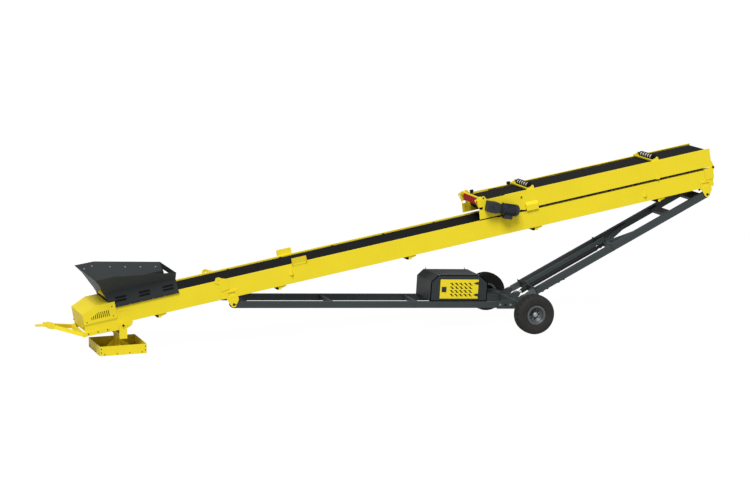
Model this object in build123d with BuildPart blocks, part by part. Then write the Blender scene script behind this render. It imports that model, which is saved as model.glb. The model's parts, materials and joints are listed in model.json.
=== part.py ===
from build123d import *
import os
from math import atan2, cos, degrees, hypot, radians, sin, sqrt

os.makedirs("parts", exist_ok=True)

# Wheeled radial stacker conveyor, its head section folded back over the main section.
# Millimetres and degrees. The foot's slewing axis is the origin, at ground level; the belt runs
# towards +X. Each assembly has its own frame: u along it, y across it, w square to it and upwards.

# Conveyor
INCLINE = 9.17
FOOT_PIN_Z = 640
FOOT_PIN_U, FOOT_PIN_W = 496, -469
HINGE_U, HINGE_W = 14586, 14.5
TAIL_PULLEY_U = 30
HEAD_REACH = 5444
FRAME_WIDTH = 1025
PANEL_HEIGHT = 420
PANEL_PLATE = 8
PANEL_FLANGE = 50
PANEL_LIP = 28
DOUBLER = 12
TAIL_LENGTH = 730
TAIL_PLATE = 12
HOOD_OUT = 20.5
HOOD_SHEET = 8
HINGE_GAP = 32
HINGE_NOTCH = 80
HALF = FRAME_WIDTH / 2
WEB_IN = HALF - PANEL_PLATE
OVERLAY = HALF + DOUBLER
SIDES = (-1, 1)

# Belt and rollers
BELT_WIDTH = 800
BELT_THICK = 10
TROUGH_FLAT = 150
TROUGH_WING = 250
TROUGH_ANGLE = 25
BELT_EDGE_DROP = 12
PULLEY_RADIUS = 160
PULLEY_W = -231
PULLEY_FACE = 880
TRANSITION = 670
ROLL_RADIUS = 44.5
ROLL_CLEAR = 0.3
IDLER_PITCH = 1214
IDLER_FIRST = 760
HEAD_IDLER_FIRST = 500
RING_RADIUS = 66
RING_PITCH = 120
RING_COUNT = 6

# Undercarriage
AXLE_X = 9050
WHEEL_RADIUS = 440
TYRE_WIDTH = 340
HALF_TRACK = 1427
ARM_PIN_U, LUG_PIN_W = 2952, -578
LEG_PIN_U = 14352
ARM_RISE = 47
ARM_HEIGHT, ARM_WIDTH = 166, 100
ARM_Y = 455
BEAM = 160
LEG_FOOT = 190
LEG_SHOW = 375
LEG_HEIGHT, LEG_WIDTH, LEG_WALL = 150, 104, 10
SLIDE_CLEAR = 0.5
LEG_STROKE = 1750
LEG_OVERLAP = 775
KINGPIN_Y = 1120
PIN_CLEAR = 0.05

# Foot
FOOT_LENGTH, FOOT_WIDTH, FOOT_HEIGHT = 1015, 1050, 206
FOOT_WALL = 10
YOKE_BOTTOM, YOKE_HEIGHT = 352, 95
FOOT_ARM_WIDTH, FOOT_ARM_THICK = 165, 25
FOOT_PIN_RADIUS = 30

# Power pack
PACK_U = 4566
PACK_LENGTH, PACK_DEPTH, PACK_HEIGHT = 1320, 902, 564
PACK_WALL = 30
DOOR_U0, DOOR_U1, DOOR_W0, DOOR_W1 = 190, 1098, 25, 465
DOOR_GAP = 6

LUG_PIN_RADIUS = 30
HINGE_PIN_RADIUS = 20


def frame_at(x, z, slope):
    """Frame on the centre plane whose u axis rises at the given slope."""
    a = radians(slope)
    return Plane(origin=(x, 0, z), x_dir=(cos(a), 0, sin(a)), z_dir=(-sin(a), 0, cos(a)))


def side(frame, y):
    """Sketch plane in u and w at a given y; extrusion goes towards -y."""
    return Plane(origin=frame.from_local_coords((0, y, 0)), x_dir=frame.x_dir, z_dir=frame.y_dir * -1)


def across(frame, u):
    """Sketch plane in y and w at a given u; extrusion goes towards +u."""
    return Plane(origin=frame.from_local_coords((u, 0, 0)), x_dir=frame.y_dir, z_dir=frame.x_dir)


def level(frame, w):
    """Sketch plane in u and y at a given w; extrusion goes towards +w."""
    return Plane(origin=frame.from_local_coords((0, 0, w)), x_dir=frame.x_dir, z_dir=frame.z_dir)


def prism(plane, points, amount, mode=Mode.ADD):
    """Straight-sided outline on a plane, extruded."""
    with BuildSketch(plane) as outline:
        with BuildLine():
            Polyline(*points, close=True)
        make_face()
    extrude(outline.sketch, amount=amount, mode=mode)


def slab(frame, y0, y1, points, mode=Mode.ADD):
    """Plate of the given u, w outline between two y values."""
    lo, hi = sorted((y0, y1))
    prism(side(frame, hi), points, hi - lo, mode)


def box(frame, u0, u1, y0, y1, w0, w1, mode=Mode.ADD):
    """Straight bar between two corners of a frame."""
    slab(frame, y0, y1, [(u0, w0), (u1, w0), (u1, w1), (u0, w1)], mode)


def pin(frame, u, w, y0, y1, radius, mode=Mode.ADD):
    """Round bar along y."""
    lo, hi = sorted((y0, y1))
    with BuildSketch(side(frame, hi)) as circle:
        with Locations((u, w)):
            Circle(radius)
    extrude(circle.sketch, amount=hi - lo, mode=mode)


def rod(frame, u0, u1, y, w, radius, mode=Mode.ADD):
    """Round bar along u."""
    with BuildSketch(across(frame, u0)) as circle:
        with Locations((y, w)):
            Circle(radius)
    extrude(circle.sketch, amount=u1 - u0, mode=mode)


def post(frame, u, y, w0, w1, radius, mode=Mode.ADD):
    """Round bar along w."""
    with BuildSketch(level(frame, w0)) as circle:
        with Locations((u, y)):
            Circle(radius)
    extrude(circle.sketch, amount=w1 - w0, mode=mode)


def save(builder, label):
    """Name a finished piece and write it out."""
    builder.part.label = label
    export_step(builder.part, f"parts/{label}.step")


# Frames, each tied to the last by its pins
incline = radians(INCLINE)
deck_x = -(FOOT_PIN_U * cos(incline) - FOOT_PIN_W * sin(incline))
deck_z = FOOT_PIN_Z - (FOOT_PIN_U * sin(incline) + FOOT_PIN_W * cos(incline))
DECK = frame_at(deck_x, deck_z, INCLINE)
HEAD_AT = DECK.from_local_coords((HINGE_U, 0, 2 * HINGE_W))
HEAD = frame_at(HEAD_AT.X, HEAD_AT.Z, INCLINE + 180)
DRUM_U = HEAD_REACH
ARM_PIN = DECK.from_local_coords((ARM_PIN_U, 0, LUG_PIN_W))
LEG_PIN = DECK.from_local_coords((LEG_PIN_U, 0, LUG_PIN_W))
ARM_RUN = AXLE_X - ARM_PIN.X
ARM_FALL = ARM_PIN.Z - (WHEEL_RADIUS + ARM_RISE)
ARMS = frame_at(ARM_PIN.X, ARM_PIN.Z, -degrees(atan2(ARM_FALL, ARM_RUN)))
AXLE_U = hypot(ARM_RUN, ARM_FALL)
FOOT_AT = (AXLE_X + LEG_FOOT, WHEEL_RADIUS + LEG_FOOT)
LEG_SPAN = hypot(LEG_PIN.X - FOOT_AT[0], LEG_PIN.Z - FOOT_AT[1])
LEGS = frame_at(*FOOT_AT, degrees(atan2(LEG_PIN.Z - FOOT_AT[1], LEG_PIN.X - FOOT_AT[0])))
GROUND = frame_at(0, 0, 0)
clevis = ARMS.to_local_coords(Vector(FOOT_AT[0], 0, FOOT_AT[1]))

MAIN_END_U = HINGE_U - HINGE_GAP
CARRY_TOP = -BELT_EDGE_DROP - TROUGH_WING * sin(radians(TROUGH_ANGLE))
RETURN_LOW = PULLEY_W - PULLEY_RADIUS - BELT_THICK


# Side panels: folded channels with a lip along the top
def panel_outline(sign):
    inner = HALF - PANEL_FLANGE
    outline = [
        (HALF, 0), (HALF, -PANEL_HEIGHT), (inner, -PANEL_HEIGHT), (inner, PANEL_PLATE - PANEL_HEIGHT),
        (WEB_IN, PANEL_PLATE - PANEL_HEIGHT), (WEB_IN, -PANEL_PLATE), (inner + PANEL_PLATE, -PANEL_PLATE),
        (inner + PANEL_PLATE, -PANEL_LIP), (inner, -PANEL_LIP), (inner, 0),
    ]
    return [(sign * y, w) for y, w in outline]


def panels(frame, u0, u1, notch_u):
    for sign in SIDES:
        prism(across(frame, u0), panel_outline(sign), u1 - u0)
        box(frame, notch_u, notch_u + HINGE_NOTCH, sign * (HALF - PANEL_FLANGE - 1), sign * WEB_IN,
            -PANEL_LIP - 1, 1, Mode.SUBTRACT)


RIB_DEPTH, RIB_THICK, RIB_LENGTH = 50, 14, 200


def ribs(frame, stations, reach):
    """Wedges on the outer faces, deepening by the given reach along w."""
    for u, w in stations:
        for sign in SIDES:
            prism(across(frame, u - RIB_THICK / 2), [(sign * (HALF - 1), w), (sign * HALF, w),
                  (sign * (HALF + RIB_DEPTH), w + reach), (sign * (HALF - 1), w + reach)], RIB_THICK)


with BuildPart() as main_panels:
    panels(DECK, TAIL_LENGTH, MAIN_END_U, MAIN_END_U - HINGE_NOTCH)
    ribs(DECK, ((4338, -12), (HINGE_U - 1766, -86)), -RIB_LENGTH)
save(main_panels, "main_panels")

HEAD_PANEL_END = DRUM_U - 330
with BuildPart() as head_panels:
    panels(HEAD, HINGE_GAP, HEAD_PANEL_END, HINGE_GAP)
    ribs(HEAD, ((1381, -RIB_LENGTH - 4), (DRUM_U - 737, -RIB_LENGTH - 4)), RIB_LENGTH)
    for sign in SIDES:
        pin(HEAD, DRUM_U - 702, -297, sign * WEB_IN, sign * (HALF + 14), 30)
        pin(HEAD, DRUM_U - 702, -297, sign * (WEB_IN - 1), sign * (HALF + 15), 13, Mode.SUBTRACT)
save(head_panels, "head_panels")


# Cross tubes between the panels, midway between carrying idlers
TUBE = 60
TUBE_W = -320
main_idlers_u = [IDLER_FIRST + IDLER_PITCH * i for i in range(int((MAIN_END_U - IDLER_FIRST) / IDLER_PITCH) + 1)]
head_idlers_u = [HEAD_IDLER_FIRST + IDLER_PITCH * i
                 for i in range(int((DRUM_U - TRANSITION - HEAD_IDLER_FIRST) / IDLER_PITCH) + 1)]


def cross_tubes(frame, stations):
    for u in stations:
        box(frame, u - TUBE / 2, u + TUBE / 2, -WEB_IN, WEB_IN, TUBE_W - TUBE / 2, TUBE_W + TUBE / 2)


with BuildPart() as main_cross_tubes:
    cross_tubes(DECK, [u + IDLER_PITCH / 2 for u in main_idlers_u[::2]])
save(main_cross_tubes, "main_cross_tubes")
with BuildPart() as head_cross_tubes:
    cross_tubes(HEAD, [u + IDLER_PITCH / 2 for u in head_idlers_u])
save(head_cross_tubes, "head_cross_tubes")


# Belt: troughed carrying strand, flat return strand wrapped round the end drum
def trough_outline():
    a = radians(TROUGH_ANGLE)
    wing_y, wing_w = TROUGH_WING * cos(a), TROUGH_WING * sin(a)
    under = BELT_THICK * (1 - cos(a)) / sin(a)
    right = [(TROUGH_FLAT, CARRY_TOP), (TROUGH_FLAT + wing_y, CARRY_TOP + wing_w)]
    low = [(TROUGH_FLAT + wing_y + BELT_THICK * sin(a), CARRY_TOP + wing_w - BELT_THICK * cos(a)),
           (TROUGH_FLAT + under, CARRY_TOP - BELT_THICK)]
    half = right + low
    return half + [(-y, w) for y, w in reversed(half)]


def flat_outline(top):
    ys = (TROUGH_FLAT, BELT_WIDTH / 2)
    half = [(ys[0], top), (ys[1], top), (ys[1], top - BELT_THICK), (ys[0], top - BELT_THICK)]
    return half + [(-y, w) for y, w in reversed(half)]


def outline_at(frame, u, points):
    with BuildSketch(across(frame, u)) as outline:
        with BuildLine():
            Polyline(*points, close=True)
        make_face()
    return outline.sketch


DRUM_TOP = PULLEY_W + PULLEY_RADIUS + BELT_THICK
BELT_END_GAP = 60
with BuildPart() as main_belt_carry:
    loft([outline_at(DECK, TAIL_PULLEY_U, flat_outline(DRUM_TOP)),
          outline_at(DECK, TAIL_PULLEY_U + TRANSITION, trough_outline())], ruled=True)
    prism(across(DECK, TAIL_PULLEY_U + TRANSITION), trough_outline(),
          MAIN_END_U - BELT_END_GAP - TAIL_PULLEY_U - TRANSITION)
save(main_belt_carry, "main_belt_carry")

with BuildPart() as head_belt_carry:
    loft([outline_at(HEAD, DRUM_U, flat_outline(DRUM_TOP)),
          outline_at(HEAD, DRUM_U - TRANSITION, trough_outline())], ruled=True)
    prism(across(HEAD, HINGE_GAP + BELT_END_GAP), trough_outline(),
          DRUM_U - TRANSITION - HINGE_GAP - BELT_END_GAP)
save(head_belt_carry, "head_belt_carry")


def return_belt(frame, drum_u, open_u, turn):
    """Return strand and the half turn round a drum; turn is -1 at the tail and 1 at the head."""
    outer = PULLEY_RADIUS + BELT_THICK
    with BuildSketch(side(frame, BELT_WIDTH / 2)) as wrap:
        with Locations((drum_u, PULLEY_W)):
            Circle(outer)
            Circle(PULLEY_RADIUS + ROLL_CLEAR, mode=Mode.SUBTRACT)
        with Locations((drum_u - turn * outer, PULLEY_W)):
            Rectangle(2 * outer, 2 * outer + 2, mode=Mode.SUBTRACT)
    extrude(wrap.sketch, amount=BELT_WIDTH)
    box(frame, drum_u, open_u, -BELT_WIDTH / 2, BELT_WIDTH / 2, RETURN_LOW, RETURN_LOW + BELT_THICK - ROLL_CLEAR)


with BuildPart() as main_belt_return:
    return_belt(DECK, TAIL_PULLEY_U, MAIN_END_U - BELT_END_GAP, -1)
save(main_belt_return, "main_belt_return")
with BuildPart() as head_belt_return:
    return_belt(HEAD, DRUM_U, HINGE_GAP + BELT_END_GAP, 1)
save(head_belt_return, "head_belt_return")


# Carrying idlers: three rolls on a cross bar with four uprights
BAR_W0, BAR_W1 = -262, -222
POST_THICK = 8
ROLL_AXIS_W = CARRY_TOP - BELT_THICK - ROLL_CLEAR - ROLL_RADIUS


def wing_axis(y):
    """Height of a wing roll's axis at y."""
    a = radians(TROUGH_ANGLE)
    drop = (BELT_THICK + ROLL_CLEAR + ROLL_RADIUS) / cos(a)
    return CARRY_TOP + (y - TROUGH_FLAT) * sin(a) / cos(a) - drop


def carry_idler(frame, u):
    box(frame, u - 25, u + 25, -WEB_IN, WEB_IN, BAR_W0, BAR_W1)
    inner_y, outer_y = TROUGH_FLAT + 12, 418
    for sign in SIDES:
        for y, top in ((inner_y, ROLL_AXIS_W + 16), (outer_y, -6)):
            box(frame, u - 25, u + 25, sign * y, sign * (y + POST_THICK), BAR_W1, top)
        a = radians(TROUGH_ANGLE)
        start, end = inner_y + POST_THICK + 14, outer_y - 40
        origin = frame.from_local_coords((u, sign * start, wing_axis(start)))
        axis = frame.y_dir * (sign * cos(a)) + frame.z_dir * sin(a)
        for radius, reach in ((ROLL_RADIUS, end - start), (10, outer_y + 4 - start), (10, inner_y + 4 - start)):
            with BuildSketch(Plane(origin=origin, x_dir=frame.x_dir, z_dir=axis)) as circle:
                Circle(radius)
            extrude(circle.sketch, amount=reach / cos(a))
    pin(frame, u, ROLL_AXIS_W, -inner_y, inner_y, 10)
    pin(frame, u, ROLL_AXIS_W, -TROUGH_FLAT, TROUGH_FLAT, ROLL_RADIUS)


with BuildPart() as main_carry_idlers:
    for u in main_idlers_u:
        carry_idler(DECK, u)
save(main_carry_idlers, "main_carry_idlers")
with BuildPart() as head_carry_idlers:
    for u in head_idlers_u:
        carry_idler(HEAD, u)
save(head_carry_idlers, "head_carry_idlers")


# Return idlers: rings on a shaft, hung in brackets under the panels
RING_WIDTH = 40
RETURN_AXIS_W = RETURN_LOW - ROLL_CLEAR - RING_RADIUS
BRACKET_Y, BRACKET_THICK = HALF - 34, 10
main_return_u = (1330, 4040, 7070, 10110, HINGE_U - 1416)
head_return_u = (1346, DRUM_U - 1012)


def return_rolls(frame, stations):
    for u in stations:
        pin(frame, u, RETURN_AXIS_W, -BRACKET_Y, BRACKET_Y, 16)
        for i in range(RING_COUNT):
            y = (i - (RING_COUNT - 1) / 2) * RING_PITCH
            pin(frame, u, RETURN_AXIS_W, y - RING_WIDTH / 2, y + RING_WIDTH / 2, RING_RADIUS)


def return_brackets(frame, stations, lean):
    """Bracket plates with a tie bar on the lean side of each roll."""
    for u in stations:
        tie = u + lean * 110
        for sign in SIDES:
            y = sign * BRACKET_Y
            with BuildSketch(side(frame, max(y, y + sign * BRACKET_THICK))) as plate:
                with Locations((u, RETURN_AXIS_W)):
                    Circle(34)
                with BuildLine():
                    Polyline((u - lean * 34, RETURN_AXIS_W), (u - lean * 34, -PANEL_HEIGHT),
                             (tie + lean * 30, -PANEL_HEIGHT), (tie + lean * 30, -PANEL_HEIGHT - 30),
                             (u + lean * 34, RETURN_AXIS_W - 10), (u, RETURN_AXIS_W), close=True)
                make_face()
            extrude(plate.sketch, amount=BRACKET_THICK)
        box(frame, tie - 15, tie + 15, -BRACKET_Y - 2, BRACKET_Y + 2, -PANEL_HEIGHT - 30, -PANEL_HEIGHT)


with BuildPart() as main_return_rolls:
    return_rolls(DECK, main_return_u)
save(main_return_rolls, "main_return_rolls")
with BuildPart() as head_return_rolls:
    return_rolls(HEAD, head_return_u)
save(head_return_rolls, "head_return_rolls")
with BuildPart() as main_return_brackets:
    return_brackets(DECK, main_return_u, 1)
save(main_return_brackets, "main_return_brackets")
with BuildPart() as head_return_brackets:
    return_brackets(HEAD, head_return_u, 1)
save(head_return_brackets, "head_return_brackets")


# Tail: flush side plates with foot lugs, and a hood with vent slots over the pulley
TAIL_FRONT, TAIL_LOW = -322, -535
HOOD_TOP = 75
HOOD_END = 405
HOOD_LOW, HOOD_BEND = -275, 55
NOSE_W = -64
SKIRT_LOW = -55
WALL_U = 285
LUG_RADIUS = 98
POCKET_U, POCKET_W, POCKET, POCKET_DEPTH = 562, -255, 186, 6
with BuildPart() as tail_plates:
    top = HOOD_TOP - HOOD_SHEET
    front = TAIL_FRONT + HOOD_SHEET
    outline = [(front, TAIL_LOW), (front, NOSE_W - 14), (6, top - 6), (WALL_U, top - 6), (WALL_U, 0),
               (TAIL_LENGTH, 0), (TAIL_LENGTH, -PANEL_HEIGHT), (700, -500), (655, -533), (590, -548), (400, -556),
               (224, -546)]
    for sign in SIDES:
        slab(DECK, sign * (HALF - TAIL_PLATE), sign * HALF, outline)
        box(DECK, POCKET_U - POCKET / 2, POCKET_U + POCKET / 2, sign * (HALF - POCKET_DEPTH), sign * (HALF + 1),
            POCKET_W - POCKET / 2, POCKET_W + POCKET / 2, Mode.SUBTRACT)
        pin(DECK, FOOT_PIN_U, FOOT_PIN_W, sign * (HALF - TAIL_PLATE), sign * OVERLAY, LUG_RADIUS)
        pin(DECK, FOOT_PIN_U, FOOT_PIN_W, sign * (OVERLAY - 1), sign * (OVERLAY + 42), FOOT_PIN_RADIUS)
        pin(DECK, FOOT_PIN_U, FOOT_PIN_W, sign * (OVERLAY + 30), sign * (OVERLAY + 42), 46)
save(tail_plates, "tail_plates")

SLOT_COUNT, SLOT_PITCH, SLOT_WIDTH = 10, 42, 18
SLOT_U, SLOT_LOW, SLOT_HIGH = -135, -208, -75
with BuildPart() as tail_guard:
    hood_y = HALF + HOOD_OUT
    slab(DECK, -hood_y, hood_y, [(TAIL_FRONT, HOOD_LOW), (TAIL_FRONT, NOSE_W), (4, HOOD_TOP), (HOOD_END, HOOD_TOP),
                                 (HOOD_END, HOOD_LOW)])
    slab(DECK, HOOD_SHEET - hood_y, hood_y - HOOD_SHEET,
         [(TAIL_FRONT + HOOD_SHEET, HOOD_LOW - 1), (TAIL_FRONT + HOOD_SHEET, NOSE_W - 5),
          (6, HOOD_TOP - HOOD_SHEET), (HOOD_END + 1, HOOD_TOP - HOOD_SHEET), (HOOD_END + 1, HOOD_LOW - 1)],
         Mode.SUBTRACT)
    box(DECK, WALL_U, HOOD_END + 1, HOOD_SHEET - hood_y, hood_y - HOOD_SHEET, 0, HOOD_TOP + 1, Mode.SUBTRACT)
    box(DECK, TAIL_FRONT, TAIL_FRONT + HOOD_SHEET, -HALF, HALF, -430, HOOD_LOW + 1)
    for sign in SIDES:
        bend = [(hood_y, HOOD_LOW), (HALF, HOOD_LOW - HOOD_BEND), (HALF, HOOD_LOW - HOOD_BEND + 22),
                (hood_y - HOOD_SHEET, HOOD_LOW)]
        prism(across(DECK, TAIL_FRONT), [(sign * y, w) for y, w in bend], HOOD_END - TAIL_FRONT)
    for i in range(SLOT_COUNT):
        u = SLOT_U + SLOT_PITCH * i
        high = min(SLOT_LOW + 55 + 22 * i, SLOT_HIGH)
        box(DECK, u - SLOT_WIDTH / 2, u + SLOT_WIDTH / 2, -hood_y - 1, hood_y + 1, SLOT_LOW, high, Mode.SUBTRACT)
save(tail_guard, "tail_guard")


def drum(frame, u, reach_low, reach_high, crown):
    pin(frame, u, PULLEY_W, -PULLEY_FACE / 2, PULLEY_FACE / 2, PULLEY_RADIUS)
    for sign in SIDES:
        pin(frame, u, PULLEY_W, sign * (PULLEY_FACE / 2 - crown), sign * (PULLEY_FACE / 2 + 1),
            PULLEY_RADIUS - 14, Mode.SUBTRACT)
        pin(frame, u, PULLEY_W, sign * (PULLEY_FACE / 2 - crown), sign * (PULLEY_FACE / 2), 70)
    pin(frame, u, PULLEY_W, reach_low, reach_high, 35)


with BuildPart() as tail_pulley:
    drum(DECK, TAIL_PULLEY_U, TAIL_PLATE - HALF, HALF - TAIL_PLATE, 60)
save(tail_pulley, "tail_pulley")


# Hopper: bent side sheets, sloping tail wall and a tie at the open end
SHEET = 8
SKIRT_TOP = 265
RIM = 703
skirt_u0, skirt_u1 = 414, 1815
FLARE = RIM - SKIRT_TOP
wall_u0, wall_low = 365, HOOD_TOP + 3
bend = SHEET * (sqrt(2) - 1)
with BuildPart() as hopper:
    slab(DECK, -HALF - FLARE, HALF + FLARE,
         [(wall_u0, wall_low), (290, 270), (-15, RIM), (-5, RIM), (299, 272), (wall_u0 + 9, wall_low)])
    box(DECK, 1748, 1792, -HALF - FLARE, HALF + FLARE, 388, 396)
    with BuildSketch(across(DECK, -100)):
        with BuildLine():
            Polyline((-HALF, -100), (HALF, -100), (HALF, SKIRT_TOP), (HALF + FLARE, RIM),
                     (-HALF - FLARE, RIM), (-HALF, SKIRT_TOP), close=True)
        make_face()
    extrude(amount=2000, mode=Mode.INTERSECT)
    for sign in SIDES:
        sheet = [(HALF, SKIRT_LOW), (HALF + SHEET, SKIRT_LOW), (HALF + SHEET, SKIRT_TOP - bend),
                 (HALF + FLARE + SHEET * sqrt(2), RIM), (HALF + FLARE, RIM), (HALF, SKIRT_TOP)]
        with BuildSketch(across(DECK, -100)):
            with BuildLine():
                Polyline(*[(sign * y, w) for y, w in sheet], close=True)
            make_face()
        extrude(amount=2000)
    slab(DECK, -2000, 2000, [(skirt_u0, SKIRT_LOW), (skirt_u0, HOOD_TOP + 2), (WALL_U, HOOD_TOP + 2), (290, 270),
                             (-15, RIM), (408, 697), (1791, 427), (1791, 258), (skirt_u1, SKIRT_LOW)],
         Mode.INTERSECT)
    for sign in SIDES:
        box(DECK, skirt_u0, skirt_u1, sign * HALF, sign * (HALF + 34), SKIRT_LOW, SKIRT_LOW + SHEET)
        for u in (650, 1105, 1560):
            box(DECK, u - 135, u + 135, sign * (HALF - 5), sign * (HALF + SHEET + 5), 75, 195, Mode.SUBTRACT)
save(hopper, "hopper")

SKIRT_RUBBER = 10
with BuildPart() as skirt_rubbers:
    for sign in SIDES:
        box(DECK, skirt_u0, skirt_u1 - 40, sign * (HALF - SKIRT_RUBBER), sign * HALF, 0.5, SKIRT_TOP - 40)
save(skirt_rubbers, "skirt_rubbers")


# Drawbar: A-frame on two bolted side arms, with a towing eye
DRAW_U, DRAW_W = -345, -500
draw_at = DECK.from_local_coords((DRAW_U, 0, DRAW_W))
DRAW = frame_at(draw_at.X, draw_at.Z, 180 - 14)
DRAW_BEAM = 80
ARM_PLATE = 14
STRIP_W, STRIP = -488, 92
with BuildPart() as drawbar:
    with BuildSketch(level(DRAW, -DRAW_BEAM / 2)):
        with BuildLine():
            Polyline((0, -HALF - ARM_PLATE), (0, HALF + ARM_PLATE), (640, 72), (720, 72), (720, -72), (640, -72), close=True)
        make_face()
        with BuildLine():
            Polyline((75, -400), (75, 400), (560, 44), (560, -44), close=True)
        make_face(mode=Mode.SUBTRACT)
    extrude(amount=DRAW_BEAM)
    for sign in SIDES:
        box(DECK, DRAW_U, 158, sign * HALF, sign * (HALF + ARM_PLATE), STRIP_W - STRIP / 2, STRIP_W + STRIP / 2)
        pin(DECK, 158, STRIP_W, sign * HALF, sign * (HALF + ARM_PLATE), STRIP / 2)
        box(DECK, DRAW_U - 30, TAIL_FRONT - 2, sign * (HALF - 120), sign * (HALF + ARM_PLATE), -540, -445)
save(drawbar, "drawbar")

EYE_BORE = 26
EYE_U, EYE_THICK = -1700, 30
eye_z = DRAW.from_local_coords((720, 0, 0)).Z
eye_x = DRAW.from_local_coords((720, 0, 0)).X
EYE = frame_at(0, eye_z, 0)
with BuildPart() as tow_eye:
    with BuildSketch(level(EYE, -EYE_THICK / 2)):
        with Locations((eye_x - 190, 0)):
            Circle(62)
        with BuildLine():
            Polyline((eye_x - 190, -62), (eye_x - 60, -70), (eye_x - 60, 70), (eye_x - 190, 62), close=True)
        make_face()
    extrude(amount=EYE_THICK)
    box(DRAW, 720, 800, -60, 60, -DRAW_BEAM / 2, DRAW_BEAM / 2)
    post(EYE, eye_x - 190, 0, -100, 100, EYE_BORE, Mode.SUBTRACT)
save(tow_eye, "tow_eye")


# Lugs under the panels for the arms and the legs
LUG_OUTLINE = ((-123, 307), (109, 319), (129, 89), (52, -36), (-52, -36), (-145, 170))
LUG_THICK = 20


def lugs(u):
    for sign in SIDES:
        y = sign * HALF
        with BuildSketch(side(DECK, max(y, y + sign * LUG_THICK))) as plate:
            with BuildLine():
                Polyline(*[(u + du, LUG_PIN_W + dw) for du, dw in LUG_OUTLINE], close=True)
            make_face()
            with Locations((u, LUG_PIN_W)):
                Circle(63)
            with Locations((u - 8, LUG_PIN_W + 235)):
                Rectangle(160, 85, mode=Mode.SUBTRACT)
        extrude(plate.sketch, amount=LUG_THICK)
        pin(DECK, u, LUG_PIN_W, sign * (ARM_Y - 62), sign * (HALF + LUG_THICK - 6), LUG_PIN_RADIUS)


with BuildPart() as arm_lugs:
    lugs(ARM_PIN_U)
save(arm_lugs, "arm_lugs")
with BuildPart() as leg_lugs:
    lugs(LEG_PIN_U)
save(leg_lugs, "leg_lugs")


# Splice plates with ears, and the rest flaps
SPLICE_U = 2709
SPLICE = ((-100, -22), (-55, 74), (18, 78), (80, 40), (200, 0), (206, -228), (24, -244), (0, -80))
with BuildPart() as splice_plates:
    for sign in SIDES:
        y = sign * HALF
        with BuildSketch(side(DECK, max(y, y + sign * DOUBLER))):
            with BuildLine():
                Polyline(*[(SPLICE_U + du, dw) for du, dw in SPLICE], close=True)
            make_face()
            with Locations((SPLICE_U, 0)):
                Circle(17, mode=Mode.SUBTRACT)
        extrude(amount=DOUBLER)
save(splice_plates, "splice_plates")


def flaps(frame, u0, u1, foot, top, flare):
    """Leaning plates outside the panels, thickness along y."""
    for sign in SIDES:
        section = [(HALF, foot), (HALF + 10, foot), (HALF + 10, 0), (HALF + 10 + flare, top),
                   (HALF + flare, top), (HALF, 0)]
        prism(across(frame, u0), [(sign * y, w) for y, w in section], u1 - u0)
        for u in (u0, u1 - FLAP_PLATE):
            wing = [(HALF, foot), (HALF + 10, foot), (HALF + FLAP_WING, 20), (HALF + FLAP_WING, top - 60),
                    (HALF + flare + 10, top), (HALF + flare, top), (HALF, 0)]
            prism(across(frame, u), [(sign * y, w) for y, w in wing], FLAP_PLATE)


FLAP_PLATE, FLAP_WING = 8, 60
with BuildPart() as main_flaps:
    flaps(DECK, 4375, 4705, -40, 130, 30)
save(main_flaps, "main_flaps")


# Hinge between main and head sections: outer ears with pins, inner ears with bores
EAR_RADIUS = 48
INNER_EAR = 20
with BuildPart() as main_hinge_ears:
    for sign in SIDES:
        y = sign * HALF
        with BuildSketch(side(DECK, max(y, y + sign * DOUBLER))):
            with BuildLine():
                Polyline((HINGE_U - 336, 0), (HINGE_U - 186, 20), (HINGE_U - 30, HINGE_W + 38),
                         (HINGE_U + 46, HINGE_W - 14), (MAIN_END_U + 30, -PANEL_HEIGHT + 170),
                         (HINGE_U - 238, -PANEL_HEIGHT + 170), (HINGE_U - 238, -12), (HINGE_U - 336, -12),
                         close=True)
            make_face()
            with Locations((HINGE_U, HINGE_W)):
                Circle(EAR_RADIUS)
        extrude(amount=DOUBLER)
        pin(DECK, HINGE_U, HINGE_W, sign * (WEB_IN - INNER_EAR), sign * (OVERLAY - 1), HINGE_PIN_RADIUS)
save(main_hinge_ears, "main_hinge_ears")

with BuildPart() as head_hinge_ears:
    for sign in SIDES:
        y = sign * WEB_IN
        with BuildSketch(side(HEAD, max(y, y - sign * INNER_EAR))):
            with Locations((0, HINGE_W)):
                Circle(38)
            with BuildLine():
                Polyline((0, HINGE_W + 26), (HINGE_GAP + HINGE_NOTCH, -PANEL_LIP - 4),
                         (HINGE_GAP + 260, -PANEL_LIP - 4), (HINGE_GAP + 260, -180), (HINGE_GAP + 4, -180),
                         (-30, HINGE_W - 20), close=True)
            make_face()
            with Locations((0, HINGE_W)):
                Circle(HINGE_PIN_RADIUS + PIN_CLEAR, mode=Mode.SUBTRACT)
        extrude(amount=INNER_EAR)
save(head_hinge_ears, "head_hinge_ears")


# Head: guides that straddle the main panels when folded, end plates, drum, scraper and drive
GUIDE_U0, GUIDE_U1 = DRUM_U - 1066, DRUM_U - 778
GUIDE_OUT, GUIDE_PLATE = 44, 8
with BuildPart() as head_guides:
    for sign in SIDES:
        section = [(HALF, -156), (HALF + GUIDE_OUT, -88), (HALF + GUIDE_OUT, 40),
                   (HALF + GUIDE_OUT - GUIDE_PLATE, 40), (HALF + GUIDE_OUT - GUIDE_PLATE, -84), (HALF, -146)]
        prism(across(HEAD, GUIDE_U0), [(sign * y, w) for y, w in section], GUIDE_U1 - GUIDE_U0)
        for u in (GUIDE_U0, GUIDE_U1 - GUIDE_PLATE):
            wing = [(HALF, -150), (HALF + GUIDE_OUT - 4, -86), (HALF + GUIDE_OUT - 4, -4), (HALF, -4)]
            prism(across(HEAD, u), [(sign * y, w) for y, w in wing], GUIDE_PLATE)
save(head_guides, "head_guides")

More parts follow.
